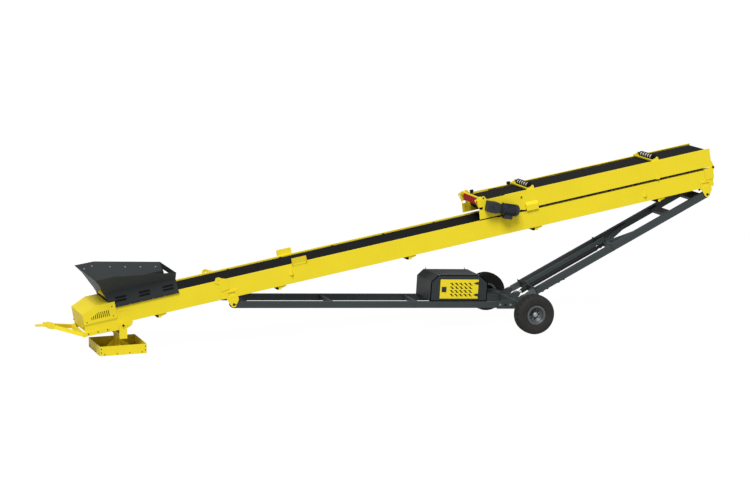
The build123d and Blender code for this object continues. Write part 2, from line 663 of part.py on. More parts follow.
PLATE_EDGE = DRUM_U + 336
SCRAPER_PIN_U, SCRAPER_PIN_W = DRUM_U + 194, -460
SLOT_AT = (DRUM_U + 288, -242)
with BuildPart() as head_end_plates:
    for sign in SIDES:
        y = sign * HALF
        with BuildSketch(side(HEAD, max(y, y + sign * DOUBLER))):
            with BuildLine():
                Polyline((DRUM_U - 464, -4), (PLATE_EDGE + 6, -4), (PLATE_EDGE - 4, -230), (PLATE_EDGE + 6, -330),
                         (PLATE_EDGE + 20, -405), (SCRAPER_PIN_U + 40, -478), (SCRAPER_PIN_U - 40, -478),
                         (SCRAPER_PIN_U - 78, -PANEL_HEIGHT), (DRUM_U - 464, -PANEL_HEIGHT), close=True)
            make_face()
            with Locations((SCRAPER_PIN_U, SCRAPER_PIN_W)):
                Circle(46)
                Circle(12, mode=Mode.SUBTRACT)
            with Locations(SLOT_AT):
                Rectangle(100, 58, mode=Mode.SUBTRACT)
        extrude(amount=DOUBLER)
save(head_end_plates, "head_end_plates")

with BuildPart() as head_drum:
    drum(HEAD, DRUM_U, -HALF, HALF, 60)
save(head_drum, "head_drum")

SCRAPER_U, SCRAPER_W, SCRAPER_BAR = DRUM_U + 271, -455, 50
TIP_U, TIP_W = DRUM_U + 400, -436
ROD_FOOT = (DRUM_U + 322, -215)
SCRAPER_ARM = 12
with BuildPart() as scraper_bar:
    half = SCRAPER_BAR / 2
    arm_y = HALF - SCRAPER_ARM
    box(HEAD, SCRAPER_U - half, SCRAPER_U + half, -arm_y, arm_y, SCRAPER_W - half, SCRAPER_W + half)
    for sign in SIDES:
        slab(HEAD, sign * arm_y, sign * HALF, [(SCRAPER_PIN_U - 30, SCRAPER_PIN_W - 26),
             (SCRAPER_U + half, SCRAPER_W - half - 4), (TIP_U, TIP_W - 16), (TIP_U, TIP_W + 16),
             (SCRAPER_U + half, SCRAPER_W + half), (SCRAPER_PIN_U - 30, SCRAPER_PIN_W + 26)])
        box(HEAD, SCRAPER_U - 40, SCRAPER_U + 40, sign * (arm_y - 60), sign * arm_y, SCRAPER_W - 40, SCRAPER_W + 40)
        run, fall = ROD_FOOT[0] - TIP_U, ROD_FOOT[1] - TIP_W
        tip = HEAD.from_local_coords((TIP_U - 10, 0, TIP_W))
        tilt = frame_at(tip.X, tip.Z, INCLINE + 180 + degrees(atan2(fall, run)))
        rod(tilt, 0, hypot(run, fall), sign * (HALF - SCRAPER_ARM / 2), 0, SCRAPER_ARM / 2 - ROLL_CLEAR)
save(scraper_bar, "scraper_bar")
with BuildPart() as scraper_blade:
    half = SCRAPER_BAR / 2
    slab(HEAD, -360, 360, [(SCRAPER_U + half, SCRAPER_W - 10), (SCRAPER_U + half + 18, SCRAPER_W - 10),
                           (SCRAPER_U + half + 40, SCRAPER_W + 125), (SCRAPER_U + half + 22, SCRAPER_W + 125)])
save(scraper_blade, "scraper_blade")

SWITCH = (70, 60, 60)
with BuildPart() as stop_switches:
    for u in (DRUM_U + 73, DRUM_U - 830):
        box(HEAD, u - SWITCH[0] / 2, u + SWITCH[0] / 2, HALF - SWITCH[1], HALF, -PANEL_HEIGHT - SWITCH[2], -PANEL_HEIGHT)
save(stop_switches, "stop_switches")

DRIVE_TILT = 19
drive_at = HEAD.from_local_coords((DRUM_U, 0, PULLEY_W))
DRIVE = frame_at(drive_at.X, drive_at.Z, INCLINE - DRIVE_TILT)
GEAR_U0, GEAR_U1, GEAR_LOW, GEAR_HIGH, GEAR_DEPTH = -238, 150, -122, 118, 190
GEAR_Y0, GEAR_Y1 = -OVERLAY - GEAR_DEPTH, -OVERLAY
MOTOR_Y = GEAR_Y1 - 136
MOTOR_RADIUS, MOTOR_LENGTH, MOTOR_W = 118, 400, -14
with BuildPart() as gearbox:
    box(DRIVE, GEAR_U0, GEAR_U1, GEAR_Y0, GEAR_Y1, GEAR_LOW, GEAR_HIGH)
    fillet(gearbox.edges().filter_by(Axis.Y), 45)
    chamfer(gearbox.faces().sort_by(Axis.Y)[0].edges(), 14)
    pin(DRIVE, -72, 0, GEAR_Y0 - 16, GEAR_Y0 + 2, 52)
    pin(DRIVE, -72, 0, GEAR_Y0 - 17, GEAR_Y0 - 4, 26, Mode.SUBTRACT)
    rod(DRIVE, GEAR_U1 - 2, GEAR_U1 + 20, MOTOR_Y, MOTOR_W, MOTOR_RADIUS - 26)
save(gearbox, "gearbox")
with BuildPart() as motor:
    flange = GEAR_U1 + 20
    with BuildSketch(side(DRIVE, MOTOR_Y)):
        with BuildLine():
            Polyline((flange, MOTOR_W), (flange, MOTOR_W + MOTOR_RADIUS + 10), (flange + 22, MOTOR_W + MOTOR_RADIUS + 10),
                     (flange + 22, MOTOR_W + MOTOR_RADIUS), (flange + MOTOR_LENGTH - 96, MOTOR_W + MOTOR_RADIUS),
                     (flange + MOTOR_LENGTH - 96, MOTOR_W + MOTOR_RADIUS + 6),
                     (flange + MOTOR_LENGTH - 22, MOTOR_W + MOTOR_RADIUS + 6),
                     (flange + MOTOR_LENGTH, MOTOR_W + MOTOR_RADIUS - 26), (flange + MOTOR_LENGTH, MOTOR_W), close=True)
        make_face()
    axis_at = DRIVE.from_local_coords((0, MOTOR_Y, MOTOR_W))
    revolve(axis=Axis(axis_at, DRIVE.x_dir))
    box(DRIVE, flange + 70, flange + 240, MOTOR_Y - 70, MOTOR_Y + 70, MOTOR_W - MOTOR_RADIUS - 48, MOTOR_W - 60)
save(motor, "motor")


# Arms with rungs, and the axle beam with its brackets, clevises and kingpins
with BuildPart() as arms:
    for sign in SIDES:
        y = sign * ARM_Y
        with BuildSketch(side(ARMS, y + ARM_WIDTH / 2)):
            Circle(ARM_HEIGHT / 2)
            with Locations((( AXLE_U - BEAM / 2) / 2, 0)):
                Rectangle(AXLE_U - BEAM / 2, ARM_HEIGHT)
            Circle(LUG_PIN_RADIUS + PIN_CLEAR, mode=Mode.SUBTRACT)
        extrude(amount=ARM_WIDTH)
save(arms, "arms")

RUNG = 80
RUNG_U = (320, 2280, 4250)
ARM_IN = ARM_Y - ARM_WIDTH / 2
with BuildPart() as arm_rungs:
    for u in RUNG_U:
        box(ARMS, u - RUNG / 2, u + RUNG / 2, -ARM_IN, ARM_IN, -RUNG / 2, RUNG / 2)
save(arm_rungs, "arm_rungs")

EYE_GAP = 0.5
ROD_RADIUS = 36
INNER_HEIGHT = LEG_HEIGHT - 2 * LEG_WALL - 2 * SLIDE_CLEAR
INNER_WIDTH = LEG_WIDTH - 2 * LEG_WALL - 2 * SLIDE_CLEAR
CLEVIS_THICK = 18
SLEEVE_HALF = 75
SLEEVE_RADIUS = 58
EAR_THICK = 22
KINGPIN_RADIUS = 26
STUB_RADIUS = 35
with BuildPart() as axle_beam:
    box(ARMS, AXLE_U - BEAM / 2, AXLE_U + BEAM / 2, -KINGPIN_Y + 80, KINGPIN_Y - 80, -BEAM / 2, BEAM / 2)
    for sign in SIDES:
        box(ARMS, AXLE_U - 500, AXLE_U - BEAM / 2 + 4, sign * (ARM_Y + ARM_WIDTH / 2),
            sign * (ARM_Y + ARM_WIDTH / 2 + 14), -100, 80)
        box(ARMS, AXLE_U - BEAM / 2 - 1, AXLE_U - BEAM / 2 + 4, sign * (ARM_Y + ARM_WIDTH / 2),
            sign * (ARM_Y + ARM_WIDTH / 2 + 14), -80, 80)
        leg_gap = INNER_WIDTH / 2 + EYE_GAP + CLEVIS_THICK / 2
        for y in (ARM_Y - leg_gap, ARM_Y + leg_gap, ROD_RADIUS + EYE_GAP + CLEVIS_THICK / 2):
            slab(ARMS, sign * y - CLEVIS_THICK / 2, sign * y + CLEVIS_THICK / 2,
                 [(AXLE_U - 60, BEAM / 2 - 2), (clevis.X - 50, clevis.Z + 40), (clevis.X, clevis.Z + 60),
                  (clevis.X + 50, clevis.Z + 40), (clevis.X + 60, clevis.Z), (AXLE_U + BEAM / 2 + 40, -40),
                  (AXLE_U + BEAM / 2 - 2, -40), (AXLE_U + BEAM / 2 - 2, BEAM / 2 - 2)])
        for w in (-SLEEVE_HALF - EAR_THICK - EYE_GAP, SLEEVE_HALF + EYE_GAP):
            box(ARMS, AXLE_U - 62, AXLE_U + 62, sign * (KINGPIN_Y - 90), sign * KINGPIN_Y,
                w - ARM_RISE, w - ARM_RISE + EAR_THICK)
            post(ARMS, AXLE_U, sign * KINGPIN_Y, w - ARM_RISE, w - ARM_RISE + EAR_THICK, 62)
        box(ARMS, AXLE_U - 62, AXLE_U + 62, sign * (KINGPIN_Y - 100), sign * (KINGPIN_Y - 78),
            -SLEEVE_HALF - EAR_THICK - EYE_GAP - ARM_RISE, SLEEVE_HALF + EYE_GAP + EAR_THICK - ARM_RISE)
        post(ARMS, AXLE_U, sign * KINGPIN_Y, -SLEEVE_HALF - EAR_THICK - EYE_GAP - ARM_RISE,
             SLEEVE_HALF + EYE_GAP + EAR_THICK - ARM_RISE, KINGPIN_RADIUS)
save(axle_beam, "axle_beam")


# Knuckles, rims and tyres
HUB_IN, HUB_OUT = HALF_TRACK - 70, HALF_TRACK + 90
RIM_RADIUS, RIM_WIDTH = 225, 290
AXLE = frame_at(AXLE_X, WHEEL_RADIUS, 0)
axle_w = ARMS.to_local_coords(Vector(AXLE_X, 0, WHEEL_RADIUS))


def knuckle(sign):
    post(ARMS, AXLE_U, sign * KINGPIN_Y, -SLEEVE_HALF - ARM_RISE, SLEEVE_HALF - ARM_RISE, SLEEVE_RADIUS)
    pin(AXLE, 0, 0, sign * (KINGPIN_Y + 30), sign * HUB_OUT, STUB_RADIUS)
    pin(AXLE, 0, 0, sign * (KINGPIN_Y + 30), sign * (HUB_IN - 6), STUB_RADIUS + 16)
    post(ARMS, AXLE_U, sign * KINGPIN_Y, -SLEEVE_HALF - 10 - ARM_RISE, SLEEVE_HALF + 10 - ARM_RISE,
         KINGPIN_RADIUS + PIN_CLEAR, Mode.SUBTRACT)


with BuildPart() as knuckle_right:
    knuckle(-1)
save(knuckle_right, "knuckle_right")
with BuildPart() as knuckle_left:
    knuckle(1)
save(knuckle_left, "knuckle_left")


def wheel_plane(sign):
    """Radius along x, outward along y, about the wheel's axis."""
    return Plane(origin=(AXLE_X, sign * HALF_TRACK, WHEEL_RADIUS), x_dir=(1, 0, 0), z_dir=(0, 0, sign))


def rim(sign):
    half = RIM_WIDTH / 2
    with BuildSketch(wheel_plane(sign)) as profile:
        with BuildLine():
            Polyline((STUB_RADIUS + PIN_CLEAR, -70), (75, -70), (75, -10), (150, 20), (RIM_RADIUS - 30, 20),
                     (RIM_RADIUS - 30, -half), (RIM_RADIUS + 20, -half), (RIM_RADIUS + 20, 12 - half),
                     (RIM_RADIUS - 18, 12 - half), (RIM_RADIUS - 18, half - 12), (RIM_RADIUS + 20, half - 12),
                     (RIM_RADIUS + 20, half), (RIM_RADIUS - 30, half), (RIM_RADIUS - 30, 34), (150, 34),
                     (90, 10), (90, 60), (STUB_RADIUS + PIN_CLEAR, 60), close=True)
        make_face()
    revolve(profile.sketch, axis=Axis((AXLE_X, 0, WHEEL_RADIUS), (0, 1, 0)))


def tyre(sign):
    half = TYRE_WIDTH / 2
    with BuildSketch(wheel_plane(sign)) as profile:
        with BuildLine():
            Polyline((RIM_RADIUS - 18, 12 - RIM_WIDTH / 2), (RIM_RADIUS + 20, 12 - RIM_WIDTH / 2),
                     (RIM_RADIUS + 60, -half), (WHEEL_RADIUS - 70, -half), (WHEEL_RADIUS - 12, 35 - half),
                     (WHEEL_RADIUS, 75 - half), (WHEEL_RADIUS, half - 75), (WHEEL_RADIUS - 12, half - 35),
                     (WHEEL_RADIUS - 70, half), (RIM_RADIUS + 60, half), (RIM_RADIUS + 20, RIM_WIDTH / 2 - 12),
                     (RIM_RADIUS - 18, RIM_WIDTH / 2 - 12), close=True)
        make_face()
    revolve(profile.sketch, axis=Axis((AXLE_X, 0, WHEEL_RADIUS), (0, 1, 0)))


with BuildPart() as rim_right:
    rim(-1)
save(rim_right, "rim_right")
with BuildPart() as rim_left:
    rim(1)
save(rim_left, "rim_left")
with BuildPart() as tyre_right:
    tyre(-1)
save(tyre_right, "tyre_right")
with BuildPart() as tyre_left:
    tyre(1)
save(tyre_left, "tyre_left")


# Legs: outer tubes with braces, inner legs that slide in them, lifting cylinder
LEG_IN = ARM_Y - LEG_WIDTH / 2
INNER_LENGTH = LEG_SHOW + LEG_STROKE + LEG_OVERLAP
with BuildPart() as outer_legs:
    for sign in SIDES:
        y = sign * ARM_Y
        with BuildSketch(side(LEGS, y + LEG_WIDTH / 2)):
            with Locations((LEG_SPAN, 0)):
                Circle(LEG_HEIGHT / 2)
            with Locations(((LEG_SPAN + LEG_SHOW) / 2, 0)):
                Rectangle(LEG_SPAN - LEG_SHOW, LEG_HEIGHT)
        extrude(amount=LEG_WIDTH)
        box(LEGS, LEG_SHOW - 1, LEG_SPAN - 200, y - LEG_WIDTH / 2 + LEG_WALL, y + LEG_WIDTH / 2 - LEG_WALL,
            LEG_WALL - LEG_HEIGHT / 2, LEG_HEIGHT / 2 - LEG_WALL, Mode.SUBTRACT)
        pin(LEGS, LEG_SPAN, 0, y - LEG_WIDTH, y + LEG_WIDTH, LUG_PIN_RADIUS + PIN_CLEAR, Mode.SUBTRACT)
    for u in (LEG_SHOW + 60, LEG_SHOW + 190, LEG_SHOW + 490, LEG_SHOW + 620):
        box(LEGS, u - 20, u + 20, -ARM_Y - 30, -ARM_Y + 30, -LEG_HEIGHT / 2 - 22, -LEG_HEIGHT / 2)
save(outer_legs, "outer_legs")

BARREL_RADIUS, BARREL_BORE = 62, 48
BARREL_U0, GLAND, PISTON, STROKE_END, BARREL_END = 130, 60, 60, 20, 40
PISTON_U = BARREL_U0 + GLAND + LEG_STROKE + STROKE_END
BARREL_U1 = PISTON_U + PISTON + 230 + BARREL_END
CROSS_U = BARREL_U1 + 40
with BuildPart() as leg_braces:
    box(LEGS, CROSS_U, CROSS_U + 100, -LEG_IN, LEG_IN, -50, 50)
    for u in (3925, 4700):
        box(LEGS, u - 35, u + 35, -LEG_IN, LEG_IN, -35, 35)
    for sign in SIDES:
        with BuildSketch(level(LEGS, -40)):
            with BuildLine():
                Polyline((CROSS_U + 98, 0), (CROSS_U + 98, sign * 75), (3050, sign * LEG_IN), (3190, sign * LEG_IN),
                         close=True)
            make_face()
        extrude(amount=80)
save(leg_braces, "leg_braces")

with BuildPart() as leg_collar:
    with BuildSketch(across(LEGS, LEG_SHOW)):
        Rectangle(2 * LEG_IN, LEG_HEIGHT)
        Circle(BARREL_RADIUS, mode=Mode.SUBTRACT)
    extrude(amount=16)
save(leg_collar, "leg_collar")

with BuildPart() as cylinder_barrel:
    rod(LEGS, BARREL_U0, BARREL_U1, 0, 0, BARREL_RADIUS)
    rod(LEGS, BARREL_U0 - 1, BARREL_U1 - BARREL_END, 0, 0, BARREL_BORE, Mode.SUBTRACT)
    rod(LEGS, BARREL_U0, BARREL_U0 + GLAND, 0, 0, BARREL_RADIUS)
    rod(LEGS, BARREL_U0 - 1, BARREL_U0 + GLAND + 1, 0, 0, ROD_RADIUS + PIN_CLEAR, Mode.SUBTRACT)
    box(LEGS, BARREL_U1 - 2, CROSS_U, -30, 30, -50, 50)
save(cylinder_barrel, "cylinder_barrel")

with BuildPart() as inner_legs:
    for sign in SIDES:
        y = sign * ARM_Y
        box(LEGS, 70, INNER_LENGTH, y - INNER_WIDTH / 2, y + INNER_WIDTH / 2, -INNER_HEIGHT / 2, INNER_HEIGHT / 2)
        with BuildSketch(side(LEGS, y + INNER_WIDTH / 2)):
            Circle(58)
            with Locations((60, 0)):
                Rectangle(120, 110)
        extrude(amount=INNER_WIDTH)
save(inner_legs, "inner_legs")

with BuildPart() as cylinder_rod:
    rod(LEGS, 20, PISTON_U + PISTON, 0, 0, ROD_RADIUS)
    rod(LEGS, PISTON_U, PISTON_U + PISTON, 0, 0, BARREL_BORE - PIN_CLEAR)
    pin(LEGS, 0, 0, -ROD_RADIUS, ROD_RADIUS, 55)
save(cylinder_rod, "cylinder_rod")


# Foot: ballast box with a post, and the yoke that tilts on the foot pins
KING_RADIUS = 45
POST = 140
with BuildPart() as foot_box:
    box(GROUND, -FOOT_LENGTH / 2, FOOT_LENGTH / 2, -FOOT_WIDTH / 2, FOOT_WIDTH / 2, 0, FOOT_HEIGHT)
    box(GROUND, FOOT_WALL - FOOT_LENGTH / 2, FOOT_LENGTH / 2 - FOOT_WALL, FOOT_WALL - FOOT_WIDTH / 2,
        FOOT_WIDTH / 2 - FOOT_WALL, FOOT_WALL, FOOT_HEIGHT + 1, Mode.SUBTRACT)
    for x in (-400, 400):
        for y in (-420, 420):
            post(GROUND, x, y, -1, FOOT_WALL + 1, 13, Mode.SUBTRACT)
save(foot_box, "foot_box")

with BuildPart() as foot_post:
    box(GROUND, -POST / 2, POST / 2, -POST / 2, POST / 2, FOOT_WALL, YOKE_BOTTOM)
    for sign in SIDES:
        slab(GROUND, -8, 8, [(sign * POST / 2, FOOT_WALL), (sign * 330, FOOT_WALL), (sign * 330, FOOT_WALL + 30),
                             (sign * POST / 2, 250)])
        with BuildSketch(across(GROUND, -8)):
            with BuildLine():
                Polyline((sign * POST / 2, FOOT_WALL), (sign * 330, FOOT_WALL), (sign * 330, FOOT_WALL + 30),
                         (sign * POST / 2, 250), close=True)
            make_face()
        extrude(amount=16)
    post(GROUND, 0, 0, FOOT_WALL + 20, YOKE_BOTTOM + 1, KING_RADIUS + PIN_CLEAR, Mode.SUBTRACT)
save(foot_post, "foot_post")

YOKE_Y = OVERLAY + 3
with BuildPart() as yoke:
    box(GROUND, -60, 60, -YOKE_Y - 1, YOKE_Y + 1, YOKE_BOTTOM, YOKE_BOTTOM + YOKE_HEIGHT)
    post(GROUND, 0, 0, FOOT_WALL + 30, YOKE_BOTTOM, KING_RADIUS)
    for sign in SIDES:
        y = sign * YOKE_Y
        with BuildSketch(side(GROUND, max(y, y + sign * FOOT_ARM_THICK))):
            with Locations((0, FOOT_PIN_Z)):
                Circle(FOOT_ARM_WIDTH / 2)
            with Locations((0, (YOKE_BOTTOM + FOOT_PIN_Z) / 2)):
                Rectangle(FOOT_ARM_WIDTH, FOOT_PIN_Z - YOKE_BOTTOM)
            with Locations((0, FOOT_PIN_Z)):
                Circle(FOOT_PIN_RADIUS + PIN_CLEAR, mode=Mode.SUBTRACT)
        extrude(amount=FOOT_ARM_THICK)
save(yoke, "yoke")


# Power pack: hollow chamfered cabinet on the arms, doors on both sides, engine block
PACK = Plane(origin=ARMS.from_local_coords((PACK_U, 0, ARM_HEIGHT / 2)), x_dir=ARMS.x_dir, z_dir=ARMS.z_dir)
PACK_OUT = ((0, 0), (PACK_LENGTH, 0), (PACK_LENGTH, 400), (1110, PACK_HEIGHT), (140, PACK_HEIGHT), (0, 410))
PACK_IN = ((PACK_WALL, PACK_WALL), (PACK_LENGTH - PACK_WALL, PACK_WALL), (PACK_LENGTH - PACK_WALL, 388),
           (1097, PACK_HEIGHT - PACK_WALL), (153, PACK_HEIGHT - PACK_WALL), (PACK_WALL, 398))
PACK_HALF = PACK_DEPTH / 2
HINGE_OUT, HINGE_RADIUS = 14, 9
HINGE_HEIGHTS = (120, 380)
with BuildPart() as pack_cabinet:
    slab(PACK, -PACK_HALF, PACK_HALF, PACK_OUT)
    slab(PACK, PACK_WALL - PACK_HALF, PACK_HALF - PACK_WALL, PACK_IN, Mode.SUBTRACT)
    box(PACK, DOOR_U0 - DOOR_GAP, DOOR_U1 + DOOR_GAP, -PACK_HALF - 1, PACK_HALF + 1, DOOR_W0 + PACK_WALL - 25,
        DOOR_W1 + DOOR_GAP, Mode.SUBTRACT)
    for sign in SIDES:
        for w in HINGE_HEIGHTS:
            for w0, w1 in ((w - 45, w - 25 - ROLL_CLEAR), (w + 25 + ROLL_CLEAR, w + 45)):
                box(PACK, DOOR_U1 + 3, DOOR_U1 + 70, sign * PACK_HALF, sign * (PACK_HALF + 6), w0, w1)
                box(PACK, DOOR_U1 + 3, DOOR_U1 + 12, sign * PACK_HALF, sign * (PACK_HALF + HINGE_OUT), w0, w1)
                post(PACK, DOOR_U1 + 3, sign * (PACK_HALF + HINGE_OUT), w0, w1, HINGE_RADIUS)
save(pack_cabinet, "pack_cabinet")

with BuildPart() as engine:
    box(PACK, 260, 1000, -250, 250, PACK_WALL, 420)
save(engine, "engine")

DOOR_COLUMNS, DOOR_ROWS = 5, 4


def door(sign):
    low = DOOR_W0 + PACK_WALL - 25 + DOOR_GAP
    with BuildSketch(side(PACK, max(sign * PACK_HALF, sign * (PACK_HALF - PACK_WALL)))) as panel:
        with BuildLine():
            Polyline((DOOR_U0, low), (DOOR_U1, low), (DOOR_U1, DOOR_W1), (DOOR_U0, DOOR_W1), close=True)
        make_face()
        for i in range(DOOR_COLUMNS):
            for j in range(DOOR_ROWS):
                u, w = DOOR_U0 + 250 + 128 * i, 110 + 82 * j
                with BuildLine():
                    Polyline((u - 42, w - 26), (u + 34, w - 6), (u + 42, w + 26), (u - 34, w + 6), close=True)
                make_face(mode=Mode.SUBTRACT)
    extrude(panel.sketch, amount=PACK_WALL)
    for w in HINGE_HEIGHTS:
        box(PACK, DOOR_U1 - 90, DOOR_U1 + 3, sign * PACK_HALF, sign * (PACK_HALF + 6), w - 25, w + 25)
        post(PACK, DOOR_U1 + 3, sign * (PACK_HALF + HINGE_OUT), w - 25, w + 25, HINGE_RADIUS)
        box(PACK, DOOR_U1 - 6, DOOR_U1 + 3, sign * PACK_HALF, sign * (PACK_HALF + HINGE_OUT), w - 25, w + 25)


with BuildPart() as door_right:
    door(-1)
save(door_right, "door_right")
with BuildPart() as door_left:
    door(1)
save(door_left, "door_left")
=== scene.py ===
"""Finishes, fasteners, tyres and studio for a wheeled radial stacker conveyor."""

import json
from math import atan2, cos, pi, radians, sin, tau

import bmesh
import bpy
from bpy.props import FloatProperty, FloatVectorProperty, IntProperty, PointerProperty
from mathutils import Matrix, Vector


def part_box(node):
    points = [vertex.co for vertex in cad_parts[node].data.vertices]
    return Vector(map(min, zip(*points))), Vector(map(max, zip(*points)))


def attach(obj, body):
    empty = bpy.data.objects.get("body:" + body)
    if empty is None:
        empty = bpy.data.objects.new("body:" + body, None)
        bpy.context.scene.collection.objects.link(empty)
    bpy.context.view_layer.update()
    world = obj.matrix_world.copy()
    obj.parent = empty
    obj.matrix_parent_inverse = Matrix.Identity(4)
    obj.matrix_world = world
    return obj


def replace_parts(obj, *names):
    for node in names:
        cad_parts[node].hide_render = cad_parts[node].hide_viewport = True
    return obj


bl_info = {
    "name": "Stacker Dressing",
    "version": (1, 0, 0),
    "blender": (4, 5, 0),
    "location": "View3D > Sidebar > Stacker",
    "description": "Paints the stacker's frame and adds its tyres, fasteners, fittings and studio",
    "category": "Object",
}

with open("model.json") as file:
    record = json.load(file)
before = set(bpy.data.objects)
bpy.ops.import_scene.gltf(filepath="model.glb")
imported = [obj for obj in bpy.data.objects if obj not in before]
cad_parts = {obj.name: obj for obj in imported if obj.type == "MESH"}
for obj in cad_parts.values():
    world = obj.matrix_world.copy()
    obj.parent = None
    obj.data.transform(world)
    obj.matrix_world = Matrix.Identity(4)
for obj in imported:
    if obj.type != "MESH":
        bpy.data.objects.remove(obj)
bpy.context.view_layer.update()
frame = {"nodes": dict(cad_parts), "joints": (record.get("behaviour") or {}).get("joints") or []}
JOINTS = {joint["name"]: joint for joint in frame["joints"]}
SIDES = (-1, 1)


# Frames on the centre plane, found from the joints: u along, y across, w square to u and upwards
def pivot(name):
    """Place of a joint on the centre plane."""
    at = JOINTS[name]["pos_m"]
    return Vector((at[0], 0, at[2]))


def frame_at(origin, along):
    """Matrix whose first column runs along the given direction on the centre plane."""
    x = along.normalized()
    z = Vector((-x.z, 0, x.x))
    turn = Matrix((x, Vector((0, 1, 0)), z)).transposed().to_4x4()
    return Matrix.Translation(origin) @ turn


def hung(at, local, along):
    """Frame along a direction in which a joint has the given place."""
    turn = frame_at(Vector((0, 0, 0)), along)
    return Matrix.Translation(at - turn @ local) @ turn


ARM_PIN, LEG_PIN = pivot("raise"), pivot("leg_swing")
ARM_PIN_ON_DECK, HINGE_ON_HEAD = Vector((2.952, 0, -0.578)), Vector((0, 0, 0.0145))
DECK = hung(ARM_PIN, ARM_PIN_ON_DECK, LEG_PIN - ARM_PIN)
HINGE = pivot("fold")
HEAD = hung(HINGE, HINGE_ON_HEAD, ARM_PIN - LEG_PIN)
AXLE = pivot("swivel_right")
ARMS = frame_at(ARM_PIN, AXLE - ARM_PIN)
PACK_ON_ARMS = Vector((4.566, 0, 0.083))
PACK = ARMS @ Matrix.Translation(PACK_ON_ARMS)
FOOT_PIN = pivot("foot_tilt")
LEG_LENGTH = 4.9308
leg_along = Vector(JOINTS["leg_slide"]["axis"]) * -1
LEGS = frame_at(LEG_PIN - leg_along * LEG_LENGTH, leg_along)
incline = atan2(LEG_PIN.z - ARM_PIN.z, LEG_PIN.x - ARM_PIN.x)


def leaning(origin, angle):
    """Frame at a point, its first axis at an angle above the ground."""
    return frame_at(origin, Vector((cos(angle), 0, sin(angle))))


DRUM_ON_HEAD, DRIVE_DROP = Vector((5.444, 0, -0.231)), radians(19)
DRIVE = leaning(HEAD @ DRUM_ON_HEAD, incline - DRIVE_DROP)
DRAWBAR_ON_DECK, DRAWBAR_ANGLE = Vector((-0.345, 0, -0.500)), radians(166)
DRAW = leaning(DECK @ DRAWBAR_ON_DECK, DRAWBAR_ANGLE)
GROUND = Matrix.Identity(4)
HALF = 0.5125       # from the centre plane to the outer face of a side panel
OVERLAY = 0.5245    # and to the face of a plate laid on it
LAP = 0.001         # how far a piece reaches into what it sits on


# Sizes and colours that a user may change
def swatch(name, description, default):
    return FloatVectorProperty(name=name, description=description, subtype="COLOR", size=3, min=0, max=1,
                               default=default)


class StackerFinishes(bpy.types.PropertyGroup):
    """Paint and rubber colours."""
    yellow: swatch("Yellow", "Frame paint", (0.80, 0.64, 0.022))
    grey: swatch("Grey", "Undercarriage paint", (0.046, 0.056, 0.057))
    hopper: swatch("Hopper", "Hopper and cabinet paint", (0.031, 0.036, 0.037))
    belt: swatch("Belt", "Belt rubber", (0.011, 0.011, 0.0115))
    tyre: swatch("Tyre", "Tyre rubber", (0.027, 0.026, 0.025))
    drive: swatch("Drive", "Gearbox and motor paint", (0.026, 0.031, 0.037))
    blade: swatch("Blade", "Scraper blade", (0.36, 0.003, 0.004))
    steel: swatch("Steel", "Bare and zinc-plated steel", (0.34, 0.35, 0.35))
    sleeve: swatch("Sleeve", "Sleeves of the head's return rolls", (0.62, 0.62, 0.60))
    rim: swatch("Rim", "Wheel rim paint", (0.075, 0.084, 0.086))
    black: swatch("Black", "Blackened fasteners and cylinder", (0.010, 0.010, 0.011))


class StackerSizes(bpy.types.PropertyGroup):
    """Fastener and tread sizes."""
    bolt: FloatProperty(name="Bolt", description="Radius of a bolt head", default=0.015, min=0.004, unit="LENGTH")
    bolt_height: FloatProperty(name="Bolt height", description="Height of a bolt head", default=0.012, min=0.002,
                               unit="LENGTH")
    tread_steps: IntProperty(name="Tread steps", description="Steps round a tyre", default=96, min=24, max=192)
    tread_depth: FloatProperty(name="Tread depth", description="Depth of the cross grooves", default=0.011, min=0,
                               unit="LENGTH")
    wheel_nuts: IntProperty(name="Wheel nuts", description="Nuts on each wheel", default=8, min=4, max=12)


class StackerStage(bpy.types.PropertyGroup):
    """Camera and light."""
    azimuth: FloatProperty(name="Azimuth", description="Turn of the view", default=radians(-19.48), subtype="ANGLE")
    elevation: FloatProperty(name="Elevation", description="Height of the view", default=radians(10.0),
                             subtype="ANGLE")
    distance: FloatProperty(name="Distance", description="From the camera to its target", default=54.53,
                            unit="LENGTH")
    target: FloatVectorProperty(name="Target", description="Point at the picture's centre", size=3,
                                default=(5.84, 0, 1.8245), subtype="TRANSLATION")
    lens: FloatProperty(name="Lens", description="Focal length in millimetres", default=118.75, min=10)
    sky: FloatProperty(name="Sky", description="Strength of the even light", default=0.5, min=0)
    key: FloatProperty(name="Key", description="Strength of the key light", default=2.75, min=0)


def sizes():
    return bpy.context.scene.stacker_sizes


# Materials
GLOSS_DRIFT = 0.07


def with_inputs(node, values):
    """Shader node with some of its inputs set."""
    for name, value in values.items():
        node.inputs[name].default_value = value
    return node


